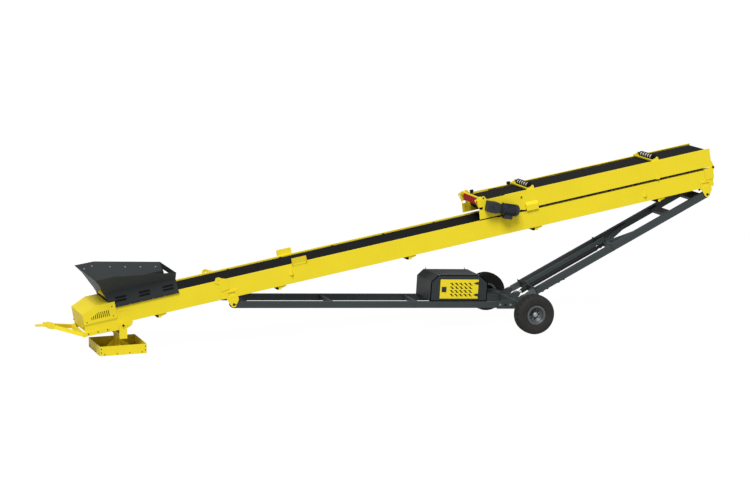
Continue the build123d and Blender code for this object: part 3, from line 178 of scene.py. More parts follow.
def shader(name, colour, roughness, grain=0.06, scale=6.0, bump=0.02, fine=260.0, metallic=0.0, specular=0.5):
    """Finish whose colour drifts softly over the surface, with a fine skin in its relief and gloss."""
    known = bpy.data.materials.get(name)
    if known:
        return known
    made = bpy.data.materials.new(name)
    made.use_nodes = True
    nodes, links = made.node_tree.nodes, made.node_tree.links
    bsdf = with_inputs(nodes["Principled BSDF"], {"Metallic": metallic, "Specular IOR Level": specular})
    place = nodes.new("ShaderNodeTexCoord")
    broad = with_inputs(nodes.new("ShaderNodeTexNoise"), {"Scale": scale, "Detail": 5})
    links.new(place.outputs["Object"], broad.inputs["Vector"])
    tint = nodes.new("ShaderNodeValToRGB")
    for stop, at, share in zip(tint.color_ramp.elements, (0.3, 0.7), (1 - grain, 1 + grain)):
        stop.position = at
        stop.color = (*(min(1.0, c * share) for c in colour), 1)
    links.new(broad.outputs["Fac"], tint.inputs["Fac"])
    links.new(tint.outputs["Color"], bsdf.inputs["Base Color"])
    skin = with_inputs(nodes.new("ShaderNodeTexNoise"), {"Scale": fine, "Detail": 3})
    links.new(place.outputs["Object"], skin.inputs["Vector"])
    gloss = with_inputs(nodes.new("ShaderNodeMapRange"), {"To Min": max(0.02, roughness - GLOSS_DRIFT),
                                                          "To Max": min(1.0, roughness + GLOSS_DRIFT)})
    links.new(broad.outputs["Fac"], gloss.inputs["Value"])
    links.new(gloss.outputs["Result"], bsdf.inputs["Roughness"])
    relief = with_inputs(nodes.new("ShaderNodeBump"), {"Strength": bump, "Distance": 0.002})
    links.new(skin.outputs["Fac"], relief.inputs["Height"])
    links.new(relief.outputs["Normal"], bsdf.inputs["Normal"])
    return made


def finish(key, name, roughness, **look):
    """Maker of the material that has one of the user's colours."""
    return lambda: shader(name, getattr(bpy.context.scene.stacker_finishes, key), roughness, **look)


yellow_paint = finish("yellow", "yellow enamel", 0.5, grain=0.025, scale=1.3, bump=0.015, specular=0.12)
grey_paint = finish("grey", "slate enamel", 0.5, grain=0.06, scale=2.0, bump=0.02, specular=0.12)
hopper_paint = finish("hopper", "hopper enamel", 0.5, grain=0.06, scale=2.0, bump=0.02, specular=0.12)
belt_rubber = finish("belt", "belt rubber", 0.72, grain=0.12, scale=4.0, bump=0.12, fine=420.0, specular=0.05)
tyre_rubber = finish("tyre", "tyre rubber", 0.7, grain=0.14, scale=9.0, bump=0.1, fine=240.0, specular=0.12)
drive_paint = finish("drive", "drive enamel", 0.45, grain=0.08, scale=9.0, bump=0.03, specular=0.18)
red_blade = finish("blade", "red polyurethane", 0.5, grain=0.06, scale=8.0, bump=0.03, specular=0.05)
bare_steel = finish("steel", "zinc steel", 0.42, grain=0.12, scale=30.0, bump=0.03, metallic=0.6)
pale_sleeve = finish("sleeve", "pale sleeve", 0.5, grain=0.05, scale=20.0, bump=0.02, specular=0.2)
rim_paint = finish("rim", "rim enamel", 0.38, grain=0.08, scale=9.0, bump=0.02, metallic=0.25)
black_finish = finish("black", "black oxide", 0.5, grain=0.15, scale=20.0, bump=0.03, specular=0.15)


# Mesh helpers
def linked(name, data):
    """New object in the scene."""
    made = bpy.data.objects.new(name, data)
    bpy.context.scene.collection.objects.link(made)
    return made


SLOTS = {yellow_paint: "yellow_paint", grey_paint: "grey_paint", hopper_paint: "grey_paint", rim_paint: "grey_paint",
         belt_rubber: "belt_rubber", tyre_rubber: "tyre", drive_paint: "drive_paint", black_finish: "drive_paint",
         bare_steel: "roller_steel", pale_sleeve: "roller_steel"}


def piece(name, bm, body, paint, slot=None, smooth=0.0):
    """Make an object of a bmesh, in place, riding on a body. Its slot, the paint's own unless one is given, is
    worked out but not used.
    """
    slot = slot or SLOTS[paint]
    bmesh.ops.remove_doubles(bm, verts=bm.verts, dist=1e-6)
    bmesh.ops.recalc_face_normals(bm, faces=bm.faces)
    mesh = bpy.data.meshes.new(name)
    bm.to_mesh(mesh)
    bm.free()
    mesh.materials.append(paint())
    made = linked(name, mesh)
    if smooth:
        mesh.set_sharp_from_angle(angle=smooth)
        mesh.polygons.foreach_set("use_smooth", [True] * len(mesh.polygons))
    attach(made, body)
    return made


def facing(at, normal):
    """Matrix with its z axis along the normal."""
    return Matrix.Translation(at) @ normal.to_track_quat("Z", "Y").to_matrix().to_4x4()


def bolt(bm, place, at, normal, radius=None, height=None):
    """Washer and hexagon head on a face of the given frame."""
    radius = radius or sizes().bolt
    height = height or sizes().bolt_height
    spot = facing(place @ Vector(at), (place.to_3x3() @ Vector(normal)).normalized())
    washer = 0.2 * height
    bmesh.ops.create_cone(bm, cap_ends=True, segments=20, radius1=radius * 1.4, radius2=radius * 1.36,
                          depth=washer + LAP, matrix=spot @ Matrix.Translation((0, 0, (washer - LAP) / 2)))
    bmesh.ops.create_cone(bm, cap_ends=True, segments=6, radius1=radius, radius2=radius * 0.95, depth=height,
                          matrix=spot @ Matrix.Translation((0, 0, washer + height / 2)))


def block(bm, place, low, high, bevel=0.0):
    """Box between two corners of a frame, with softened edges."""
    low, high = Vector(low), Vector(high)
    made = bmesh.ops.create_cube(bm, size=1, matrix=place @ Matrix.Translation((low + high) / 2)
                                 @ Matrix.Diagonal((*(high - low), 1)))
    if bevel:
        edges = list({e for v in made["verts"] for e in v.link_edges})
        bmesh.ops.bevel(bm, geom=edges, offset=bevel, offset_type="OFFSET", segments=2, profile=0.5,
                        affect="EDGES", material=-1)


def round_bar(bm, place, at, normal, radius, length, segments=24):
    """Round bar that starts at a point and runs along a normal."""
    spot = facing(place @ Vector(at), (place.to_3x3() @ Vector(normal)).normalized())
    bmesh.ops.create_cone(bm, cap_ends=True, segments=segments, radius1=radius, radius2=radius, depth=length,
                          matrix=spot @ Matrix.Translation((0, 0, length / 2)))


def thicken(bm, place, faces, shift):
    """Grow faces into a plate along a shift of the given frame."""
    grown = bmesh.ops.extrude_face_region(bm, geom=faces)
    moved = [g for g in grown["geom"] if isinstance(g, bmesh.types.BMVert)]
    bmesh.ops.translate(bm, vec=place.to_3x3() @ Vector(shift), verts=moved)


def plate(bm, place, corners, shift):
    """Flat plate of the given corners."""
    thicken(bm, place, [bm.faces.new([bm.verts.new(place @ Vector(c)) for c in corners])], shift)


def pierced(bm, place, outline, holes, shift):
    """Flat plate with holes through it."""
    edges = []
    for loop in (outline, *holes):
        verts = [bm.verts.new(place @ Vector(c)) for c in loop]
        edges += [bm.edges.new(pair) for pair in zip(verts, verts[1:] + verts[:1])]
    filled = bmesh.ops.triangle_fill(bm, use_beauty=True, use_dissolve=False, edges=edges)
    thicken(bm, place, [g for g in filled["geom"] if isinstance(g, bmesh.types.BMFace)], shift)


def turned(bm, place, profile, steps=48):
    """Closed profile of radius and reach, turned about the first axis of a frame."""
    verts = [bm.verts.new(place @ Vector((reach, 0, radius))) for radius, reach in profile]
    edges = [bm.edges.new(pair) for pair in zip(verts, verts[1:] + verts[:1])]
    bmesh.ops.spin(bm, geom=verts + edges, cent=place.to_translation(), axis=place.to_3x3() @ Vector((1, 0, 0)),
                   angle=tau, steps=steps, use_merge=True)
    bmesh.ops.remove_doubles(bm, verts=bm.verts, dist=1e-5)


def span(sign, near, far):
    """Low and high y of a stretch on one side, given its distances from the centre plane."""
    return sorted((sign * near, sign * far))


def both_sides(make, bm, place, at, *measures, **options):
    """Bolt or round bar at the same place of each side."""
    u, y, w = at
    for sign in SIDES:
        make(bm, place, (u, sign * y, w), (0, sign, 0), *measures, **options)


def side_blocks(bm, place, u, y, w, bevel=0.0):
    """Box on each side, from its stretches along, out from the centre plane and up."""
    for sign in SIDES:
        low, high = span(sign, *y)
        block(bm, place, (u[0], low, w[0]), (u[1], high, w[1]), bevel)


def rectangle(y, u0, u1, w0, w1):
    """Corners of an upright rectangle at a given y."""
    return [(u0, y, w0), (u1, y, w0), (u1, y, w1), (u0, y, w1)]


NODE_FINISH = {
    hopper_paint: "hopper pack_cabinet",
    grey_paint: "arms arm_rungs axle_beam knuckle_right knuckle_left outer_legs leg_braces leg_collar",
    belt_rubber: "main_belt_carry main_belt_return head_belt_carry head_belt_return main_return_rolls "
                 "head_return_rolls skirt_rubbers",
    black_finish: "main_carry_idlers head_carry_idlers tail_pulley head_drum cylinder_barrel stop_switches",
    drive_paint: "gearbox motor engine",
    red_blade: "scraper_blade",
    rim_paint: "rim_right rim_left inner_legs",
    bare_steel: "cylinder_rod",
    tyre_rubber: "tyre_right tyre_left",
}


class STACKER_OT_finishes(bpy.types.Operator):
    """Give every piece of the frame its paint, rubber or steel"""
    bl_idname = "stacker.finishes"
    bl_label = "Paint the frame"

    def execute(self, context):
        chosen = {name: make for make, names in NODE_FINISH.items() for name in names.split()}
        for name, node in frame["nodes"].items():
            node.data.materials.clear()
            node.data.materials.append(chosen.get(name, yellow_paint)())
        return {"FINISHED"}


class STACKER_OT_tyres(bpy.types.Operator):
    """Turn the two tyres with beads, ribs and a road tread"""
    bl_idname = "stacker.tyres"
    bl_label = "Tyres"

    PROFILE = ((0.180, 0.131), (0.221, 0.132), (0.230, 0.146), (0.243, 0.150), (0.250, 0.157), (0.286, 0.165),
               (0.322, 0.1695), (0.329, 0.166), (0.336, 0.1695), (0.372, 0.166), (0.398, 0.157), (0.416, 0.145),
               (0.428, 0.128), (0.4325, 0.112), (0.424, 0.109), (0.424, 0.098), (0.4345, 0.095), (0.438, 0.052),
               (0.428, 0.049), (0.428, 0.038), (0.439, 0.035), (0.440, 0.0))
    CROWN, SHOULDER, SHOULDER_Y, GROOVE_EVERY = 0.4305, 0.42, 0.128, 4

    def tyre(self, name, node, body):
        low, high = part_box(node)
        centre = (low + high) / 2
        ring = [*self.PROFILE, *((r, -y) for r, y in reversed(self.PROFILE[:-1]))]
        bm, steps = bmesh.new(), sizes().tread_steps
        turned(bm, Matrix.Translation(centre) @ Matrix.Rotation(pi / 2, 4, "Z"), ring, steps)
        grooves = []
        for face in bm.faces:
            rel = face.calc_center_median() - centre
            radius = Vector((rel.x, rel.z)).length
            step = round((atan2(rel.z, rel.x) % tau) / tau * steps - 0.5)
            shift = 0 if rel.y > 0 else self.GROOVE_EVERY // 2
            on_crown = radius > self.CROWN and abs(rel.y) < self.SHOULDER_Y
            on_shoulder = self.SHOULDER < radius < self.CROWN and abs(rel.y) > self.SHOULDER_Y
            if (on_crown or on_shoulder) and (step + shift) % self.GROOVE_EVERY == 0:
                grooves.append(face)
        cut = bmesh.ops.extrude_discrete_faces(bm, faces=grooves)
        for face in cut["faces"]:
            rel = face.calc_center_median() - centre
            inward = Vector((-rel.x, 0, -rel.z)).normalized() * sizes().tread_depth
            bmesh.ops.translate(bm, vec=inward, verts=face.verts)
        made = piece(name, bm, body, tyre_rubber, smooth=radians(28))
        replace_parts(made, node)

    def execute(self, context):
        for side in ("right", "left"):
            self.tyre(f"road_tyre_{side}", f"tyre_{side}", f"wheel_{side}")
        return {"FINISHED"}


class STACKER_OT_hubs(bpy.types.Operator):
    """Dished wheel rims with their nuts and hub caps"""
    bl_idname = "stacker.hubs"
    bl_label = "Hubs"

    RIM = ((0.036, -0.070), (0.075, -0.070), (0.075, -0.010), (0.130, 0.040), (0.168, 0.066), (0.168, -0.145),
           (0.214, -0.145), (0.218, -0.139), (0.218, -0.133), (0.180, -0.133), (0.180, 0.133), (0.218, 0.133),
           (0.218, 0.139), (0.214, 0.145), (0.176, 0.145), (0.166, 0.136), (0.162, 0.090), (0.128, 0.056),
           (0.082, 0.014), (0.064, 0.012), (0.062, 0.060), (0.036, 0.060))
    NUT_CIRCLE, NUT_SEAT, NUT, NUT_HEIGHT = 0.106, 0.033, 0.011, 0.016
    DISH_OUT, DISH_IN = 0.752, 0.658
    CAP_SEAT, CAP_STEPS = 0.059, ((0.056, 0.052, 0.026, 0.013), (0.046, 0.034, 0.012, 0.032))

    def execute(self, context):
        for side, sign in (("right", -1), ("left", 1)):
            low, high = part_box(f"rim_{side}")
            centre = (low + high) / 2
            out = Vector((0, sign, 0))
            bm = bmesh.new()
            axle = Matrix.Translation(centre) @ Matrix.Rotation(sign * pi / 2, 4, "Z")
            turned(bm, axle, self.RIM, steps=64)
            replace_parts(piece(f"dished_rim_{side}", bm, f"wheel_{side}", rim_paint, smooth=radians(35)), f"rim_{side}")
            bm = bmesh.new()
            for i in range(sizes().wheel_nuts):
                angle = tau * (i + 0.5) / sizes().wheel_nuts
                spoke = Vector((cos(angle), 0, sin(angle)))
                bolt(bm, GROUND, centre + self.NUT_CIRCLE * spoke + self.NUT_SEAT * out,
                     self.DISH_OUT * out - self.DISH_IN * spoke, radius=self.NUT, height=self.NUT_HEIGHT)
            cap = facing(centre + self.CAP_SEAT * out, out)
            for foot, top, depth, rise in self.CAP_STEPS:
                bmesh.ops.create_cone(bm, cap_ends=True, segments=40, radius1=foot, radius2=top, depth=depth,
                                      matrix=cap @ Matrix.Translation((0, 0, rise)))
            piece(f"hub_nuts_{side}", bm, f"wheel_{side}", bare_steel, smooth=radians(30))
        return {"FINISHED"}


class STACKER_OT_tail_bolts(bpy.types.Operator):
    """Bolts of the tail plates, the hood and the drawbar, and the ends of the foot's pin"""
    bl_idname = "stacker.tail_bolts"
    bl_label = "Tail bolts"

    STRIP, STRIP_FACE = ((-0.262, -0.488), (-0.054, -0.488), (0.155, -0.488)), HALF + 0.014
    HOOD, HOOD_FACE = ((-0.250, -0.24), (0.330, -0.02), (0.330, -0.22)), HALF + 0.0205
    NOSE = (-0.322, 0.49, -0.345)
    STRIP_BOLT, HOOD_BOLT, NOSE_BOLT = (0.011, 0.009), (0.009, 0.007), (0.013, 0.014)
    PIN_FACE, PIN, PIN_HEIGHT = OVERLAY + 0.041, 0.026, 0.005

    def execute(self, context):
        bm = bmesh.new()
        foot = DECK.inverted() @ FOOT_PIN
        for u, w in self.STRIP:
            both_sides(bolt, bm, DECK, (u, self.STRIP_FACE, w), *self.STRIP_BOLT)
        for u, w in self.HOOD:
            both_sides(bolt, bm, DECK, (u, self.HOOD_FACE, w), *self.HOOD_BOLT)
        u, y, w = self.NOSE
        for sign in SIDES:
            bolt(bm, DECK, (u, sign * y, w), (-1, 0, 0), *self.NOSE_BOLT)
        both_sides(round_bar, bm, DECK, (foot.x, self.PIN_FACE, foot.z), self.PIN, self.PIN_HEIGHT)
        piece("tail_bolts", bm, "conveyor", black_finish)
        return {"FINISHED"}


class STACKER_OT_foot_bolts(bpy.types.Operator):
    """Bolts round the ballast box and in its floor"""
    bl_idname = "stacker.foot_bolts"
    bl_label = "Foot bolts"

    SIDE_BOLT, ROW, ROW_HEIGHT, ROW_MARGIN = 0.008, 4, 0.035, 0.1
    CORNER_MARGIN, CORNER_HEIGHTS = 0.03, (0.075, 0.155)
    FLOOR, FLOOR_SPREAD, FLOOR_BOLT, FLOOR_HEIGHT = 0.01, 0.30, 0.02, 0.016

    def row(self, low, high):
        """Even places between two corners, clear of both."""
        step = (high - low - 2 * self.ROW_MARGIN) / (self.ROW - 1)
        return [low + self.ROW_MARGIN + i * step for i in range(self.ROW)]

    def execute(self, context):
        low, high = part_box("foot_box")
        bm = bmesh.new()
        for sign in SIDES:
            face, end = (high.y, high.x) if sign > 0 else (low.y, low.x)
            for x in self.row(low.x, high.x):
                bolt(bm, GROUND, (x, face, self.ROW_HEIGHT), (0, sign, 0), radius=self.SIDE_BOLT)
            for x in (low.x + self.CORNER_MARGIN, high.x - self.CORNER_MARGIN):
                for z in self.CORNER_HEIGHTS:
                    bolt(bm, GROUND, (x, face, z), (0, sign, 0), radius=self.SIDE_BOLT)
            for y in self.row(low.y, high.y):
                bolt(bm, GROUND, (end, y, self.ROW_HEIGHT), (sign, 0, 0), radius=self.SIDE_BOLT)
        piece("foot_side_bolts", bm, "foot", black_finish)
        bm = bmesh.new()
        for x in SIDES:
            for y in SIDES:
                bolt(bm, GROUND, (x * self.FLOOR_SPREAD, y * self.FLOOR_SPREAD, self.FLOOR), (0, 0, 1),
                     radius=self.FLOOR_BOLT, height=self.FLOOR_HEIGHT)
        piece("foot_floor_bolts", bm, "foot", bare_steel)
        return {"FINISHED"}


class STACKER_OT_hopper(bpy.types.Operator):
    """Hopper of bent sheets with its seal and bolts, and a gusset behind its tail wall"""
    bl_idname = "stacker.hopper"
    bl_label = "Hopper"

    BEND, SHEET = 0.265, 0.008
    TAIL = ((0.285, 0.078), (0.2075, BEND), (0.088, 0.555), (-0.015, 0.703))
    SKIRT = ((0.414, -0.055), (0.414, 0.077), (0.285, 0.077), (0.2075, BEND), (1.7905, BEND), (1.815, -0.055))
    FLARE = ((0.2075, BEND), (0.088, 0.555), (-0.015, 0.703), (0.408, 0.697), (1.791, 0.427), (1.791, BEND))
    WINDOWS, WINDOW_HALF, WINDOW_ROWS = (0.553, 1.076, 1.599), 0.120, ((0.045, 0.095), (0.115, 0.165))
    FLANGE = ((0.414, 1.815), (HALF, HALF + 0.034), (-0.055, -0.047))
    END = ((1.782, 0.292), (1.782, 0.425))
    SEAL, SEAL_HALF = ((0.2735, 0.075), (0.2835, 0.075), (0.2645, 0.123), (0.2545, 0.123)), 0.5025
    GUSSET, GUSSET_Y, GUSSET_THICK = ((0.153, 0.399), (0.100, 0.334), (0.231, 0.211)), -0.505, 0.010
    RIM_BOLTS = ((0.16, 0.60), (0.34, 0.62), (0.709, 0.535), (1.025, 0.475), (1.342, 0.415), (1.658, 0.355))
    END_BOLTS, END_FACE, END_INSET = (0.32, 0.39), 1.790, 0.30
    FLANGE_BOLTS, FLANGE_BOLT_OUT = [0.47 + 0.255 * i for i in range(6)], 0.022
    RIM_BOLT, FLANGE_BOLT = (0.010, 0.008), (0.009, 0.008)

    def out(self, w):
        """Half width of the hopper's mouth at a height."""
        return HALF + max(0.0, w - self.BEND)

    def across(self, bm, low, high):
        """Sheet across the hopper between two rows, each given as u and w."""
        corners = [(*low, -1), (*low, 1), (*high, 1), (*high, -1)]
        plate(bm, DECK, [(u, sign * self.out(w), w) for u, w, sign in corners], (self.SHEET, 0, 0))

    def shell(self):
        bm = bmesh.new()
        lean = self.SHEET / 2 ** 0.5
        for sign in SIDES:
            y = sign * HALF
            holes = [rectangle(y, u - self.WINDOW_HALF, u + self.WINDOW_HALF, *row)
                     for u in self.WINDOWS for row in self.WINDOW_ROWS]
            pierced(bm, DECK, [(u, y, w) for u, w in self.SKIRT], holes, (0, sign * self.SHEET, 0))
            plate(bm, DECK, [(u, sign * self.out(w), w) for u, w in self.FLARE], (0, sign * lean, -lean))
        side_blocks(bm, DECK, *self.FLANGE)
        for low, high in zip(self.TAIL, self.TAIL[1:]):
            self.across(bm, low, high)
        self.across(bm, *self.END)
        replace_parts(piece("hopper_shell", bm, "conveyor", hopper_paint), "hopper")

    def seal(self):
        bm = bmesh.new()
        plate(bm, DECK, [(u, -self.SEAL_HALF, w) for u, w in self.SEAL], (0, 2 * self.SEAL_HALF, 0))
        piece("wall_seal", bm, "conveyor", belt_rubber)

    def bolts(self):
        bm = bmesh.new()
        for sign in SIDES:
            for u, w in self.RIM_BOLTS:
                bolt(bm, DECK, (u, sign * self.out(w), w), (0, -sign, 1), *self.RIM_BOLT)
            for w in self.END_BOLTS:
                bolt(bm, DECK, (self.END_FACE, sign * (HALF + w - self.END_INSET), w), (1, 0, 0), *self.RIM_BOLT)
            for u in self.FLANGE_BOLTS:
                bolt(bm, DECK, (u, sign * (HALF + self.FLANGE_BOLT_OUT), self.FLANGE[2][1]), (0, 0, 1),
                     *self.FLANGE_BOLT)
        piece("hopper_bolts", bm, "conveyor", bare_steel)

    def execute(self, context):
        self.shell()
        self.seal()
        self.bolts()
        bm = bmesh.new()
        plate(bm, DECK, [(u, self.GUSSET_Y, w) for u, w in self.GUSSET], (0, self.GUSSET_THICK, 0))
        piece("hopper_gussets", bm, "conveyor", yellow_paint)
        return {"FINISHED"}


class STACKER_OT_axle_bolts(bpy.types.Operator):
    """Long arms, bolts of the axle brackets, and the ends and keepers of the big pins"""
    bl_idname = "stacker.axle_bolts"
    bl_label = "Axle bolts"

    ARM_Y, ARM_HALF, ARM_LOW, ARM_HIGH, BEAM_HALF = 0.455, 0.050, -0.083, 0.058, 0.080
    BRACKET_FACE, BRACKET_W = ARM_Y + ARM_HALF + 0.014, -0.012
    BRACKET_BOLTS, BRACKET_PLUG = (0.43, 0.18), 0.305
    BOLT_SIZE, PLUG_SIZE, KEEPER_SIZE = (0.022, 0.016), (0.018, 0.008), (0.010, 0.008)
    PIN_FACE, PIN_SIZE, KEEPER, KEEPER_FACE = HALF + 0.013, (0.028, 0.014), (0.045, -0.012), HALF + 0.02

    def arms(self, reach):
        bm = bmesh.new()
        middle, radius = (self.ARM_LOW + self.ARM_HIGH) / 2, (self.ARM_HIGH - self.ARM_LOW) / 2
        for sign in SIDES:
            low, high = sign * self.ARM_Y - self.ARM_HALF, sign * self.ARM_Y + self.ARM_HALF
            block(bm, ARMS, (0, low, self.ARM_LOW), (reach - self.BEAM_HALF, high, self.ARM_HIGH))
            round_bar(bm, ARMS, (0, low, middle), (0, 1, 0), radius, 2 * self.ARM_HALF, segments=48)
        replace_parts(piece("long_arms", bm, "chassis", grey_paint), "arms")

    def bracket_bolts(self, reach, places, size):
        """Bolts on the outer faces of both axle brackets, at distances before the axle."""
        bm = bmesh.new()
        for before in places:
            both_sides(bolt, bm, ARMS, (reach - before, self.BRACKET_FACE, self.BRACKET_W), *size)
        return bm

    def execute(self, context):
        reach = (AXLE - ARM_PIN).length
        self.arms(reach)
        bm = self.bracket_bolts(reach, self.BRACKET_BOLTS, self.BOLT_SIZE)
        piece("axle_bolts", bm, "chassis", bare_steel)
        bm = self.bracket_bolts(reach, (self.BRACKET_PLUG,), self.PLUG_SIZE)
        piece("axle_dark_bolts", bm, "chassis", black_finish)
        bm = bmesh.new()
        for at in (ARM_PIN, LEG_PIN):
            spot = DECK.inverted() @ at
            du, dw = self.KEEPER
            both_sides(round_bar, bm, DECK, (spot.x, self.PIN_FACE, spot.z), *self.PIN_SIZE)
            both_sides(bolt, bm, DECK, (spot.x + du, self.KEEPER_FACE, spot.z + dw), *self.KEEPER_SIZE)
        piece("lug_pin_ends", bm, "conveyor", black_finish)
        return {"FINISHED"}


class STACKER_OT_pack_fittings(bpy.types.Operator):
    """Cabinet and louvred doors of the power pack, with latches, strap hinges and lifting eyes"""
    bl_idname = "stacker.pack_fittings"
    bl_label = "Power pack"

    DOOR_U0, DOOR_U1, DOOR_LOW, DOOR_HIGH, HEIGHTS = 0.190, 1.098, 0.036, 0.465, (0.120, 0.380)
    DEPTH, WALL, GAP = 0.451, 0.020, 0.006
    NEAR = ((-0.030, -0.026), (1.320, -0.026), (1.320, 0.400), (1.110, 0.564), (0.140, 0.564), (-0.030, 0.410))
    FAR = (*NEAR[:3], (1.170, 0.546), (0.112, 0.546), NEAR[5])
    INWARD = ((0, 1), (-1, 0), (-0.6, -0.8), (0, -1), (0.67, -0.74), (1, 0))
    SLOT = ((-0.052, 0.030), (-0.002, 0.030), (0.026, -0.012), (0.052, -0.012), (0.052, -0.030), (0.002, -0.030),
            (-0.026, 0.012), (-0.052, 0.012))
    COLUMNS, ROWS = [0.284 + 0.108 * i for i in range(5)], [0.114 + 0.082 * i for i in range(4)]
    DOOR_SHEET, DOOR_DEPTH, DOOR_EDGE = 0.012, 0.030, 0.012
    DOOR_LEAF, CABINET_LEAF, LEAF_THICK = (-0.008, -0.108), (0.014, 0.092), 0.007
    KNUCKLE, KNUCKLE_LENGTH, KNUCKLE_U, KNUCKLE_OUT = 0.0115, 0.051, 0.003, 0.014
    LATCH_U, LATCH_W = 0.092, 0.243
    # plate and handle: half width, reach down and up, back and front, bevel
    LATCH = ((0.055, 0.058, 0.058, 0.0, 0.012, 0.006), (0.022, 0.040, 0.028, 0.010, 0.030, 0.008))
    EYES_U, EYE_Y, EYE_W, ROOF_FALL, EYE_SCALE = (0.155, 1.095), 0.430, 0.555, 0.0086, 0.7
    EYE_FOOT, EYE_FOOT_RISE, EYE_RISE, EYE_RING, EYE_WIRE = (0.02, 0.014, 0.016), 0.007, 0.032, 0.016, 0.0055

    def cabinet(self):
        bm = bmesh.new()
        for sign, outline in ((-1, self.NEAR), (1, self.FAR)):
            y = sign * self.DEPTH
            door = rectangle(y, self.DOOR_U0 - self.GAP, self.DOOR_U1 + self.GAP, self.DOOR_LOW - self.GAP,
                             self.DOOR_HIGH + self.GAP)
            pierced(bm, PACK, [(u, y, w) for u, w in outline], [door], (0, -sign * self.WALL, 0))
        for i, (du, dw) in enumerate(self.INWARD):
            j = (i + 1) % len(self.NEAR)
            corners = [(*self.NEAR[i], -1), (*self.NEAR[j], -1), (*self.FAR[j], 1), (*self.FAR[i], 1)]
            plate(bm, PACK, [(u, sign * self.DEPTH, w) for u, w, sign in corners],
                  (du * self.WALL, 0, dw * self.WALL))
        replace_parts(piece("pack_housing", bm, "chassis", hopper_paint), "pack_cabinet")

    def door(self, side, sign):
        bm = bmesh.new()
        y = sign * self.DEPTH
        u0, u1, w0, w1 = self.DOOR_U0, self.DOOR_U1, self.DOOR_LOW, self.DOOR_HIGH
        slots = [[(u0 + column + du, y, row + dw) for du, dw in self.SLOT]
                 for column in self.COLUMNS for row in self.ROWS]
        pierced(bm, PACK, rectangle(y, u0, u1, w0, w1), slots, (0, -sign * self.DOOR_SHEET, 0))
        edge = self.DOOR_EDGE
        low, high = span(sign, self.DEPTH - self.DOOR_DEPTH, self.DEPTH - self.DOOR_SHEET + LAP / 2)
        for a0, a1, b0, b1 in ((u0, u1, w0, w0 + edge), (u0, u1, w1 - edge, w1), (u0, u0 + edge, w0, w1),
                               (u1 - edge, u1, w0, w1)):
            block(bm, PACK, (a0, low, b0), (a1, high, b1))
        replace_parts(piece(f"louvred_door_{side}", bm, f"door_{side}", yellow_paint), f"door_{side}")

    def strap(self, bm, sign, w, leaf):
        """Tapered hinge leaf, its root and tip given from the door's edge."""
        face = sign * (self.DEPTH - LAP)
        root, tip = (self.DOOR_U1 + du for du in leaf)
        middle = root + 0.45 * (tip - root)
        corners = ((root, -0.030), (middle, -0.024), (tip, -0.004), (tip, 0.004), (middle, 0.024), (root, 0.030))
        plate(bm, PACK, [(u, face, w + h) for u, h in corners], (0, sign * self.LEAF_THICK, 0))

    def latch(self, side, sign):
        bm = bmesh.new()
        u, w = self.DOOR_U0 + self.LATCH_U, self.LATCH_W
        for half, down, up, near, far, bevel in self.LATCH:
            low, high = span(sign, self.DEPTH + near, self.DEPTH + far)
            block(bm, PACK, (u - half, low, w - down), (u + half, high, w + up), bevel=bevel)
        piece(f"door_latch_{side}", bm, f"door_{side}", drive_paint)

    def lifting_eye(self, bm, u, sign):
        """Foot and ring of one eye on the sloping roof."""
        spot = (PACK @ Matrix.Translation((u, sign * self.EYE_Y, self.EYE_W - sign * self.ROOF_FALL))
                @ Matrix.Diagonal((self.EYE_SCALE,) * 3 + (1,)))
        foot, top, height = self.EYE_FOOT
        bmesh.ops.create_cone(bm, cap_ends=True, segments=20, radius1=foot, radius2=top, depth=height,
                              matrix=spot @ Matrix.Translation((0, 0, self.EYE_FOOT_RISE)))
        ring = bmesh.ops.create_circle(bm, segments=10, radius=self.EYE_WIRE,
                                       matrix=spot @ Matrix.Translation((self.EYE_RING, 0, self.EYE_RISE))
                                       @ Matrix.Rotation(pi / 2, 4, "X"))
        loop = list({e for v in ring["verts"] for e in v.link_edges})
        bmesh.ops.spin(bm, geom=ring["verts"] + loop, cent=spot @ Vector((0, 0, self.EYE_RISE)),
                       axis=(spot.to_3x3() @ Vector((0, 1, 0))).normalized(), angle=tau, steps=24, use_merge=True)

    def execute(self, context):
        self.cabinet()
        for side, sign in (("right", -1), ("left", 1)):
            self.door(side, sign)
            bm = bmesh.new()
            for w in self.HEIGHTS:
                self.strap(bm, sign, w, self.DOOR_LEAF)
                foot = (self.DOOR_U1 + self.KNUCKLE_U, sign * (self.DEPTH + self.KNUCKLE_OUT),
                        w - self.KNUCKLE_LENGTH / 2)
                round_bar(bm, PACK, foot, (0, 0, 1), self.KNUCKLE, self.KNUCKLE_LENGTH)
            piece(f"door_hinges_{side}", bm, f"door_{side}", drive_paint, smooth=radians(30))
            self.latch(side, sign)
        bm = bmesh.new()
        for sign in SIDES:
            for w in self.HEIGHTS:
                self.strap(bm, sign, w, self.CABINET_LEAF)
        piece("cabinet_hinges", bm, "chassis", drive_paint)
        bm = bmesh.new()
        for sign in SIDES:
            for u in self.EYES_U:
                self.lifting_eye(bm, u, sign)
        piece("lifting_eyes", bm, "chassis", bare_steel, smooth=radians(40))
        return {"FINISHED"}


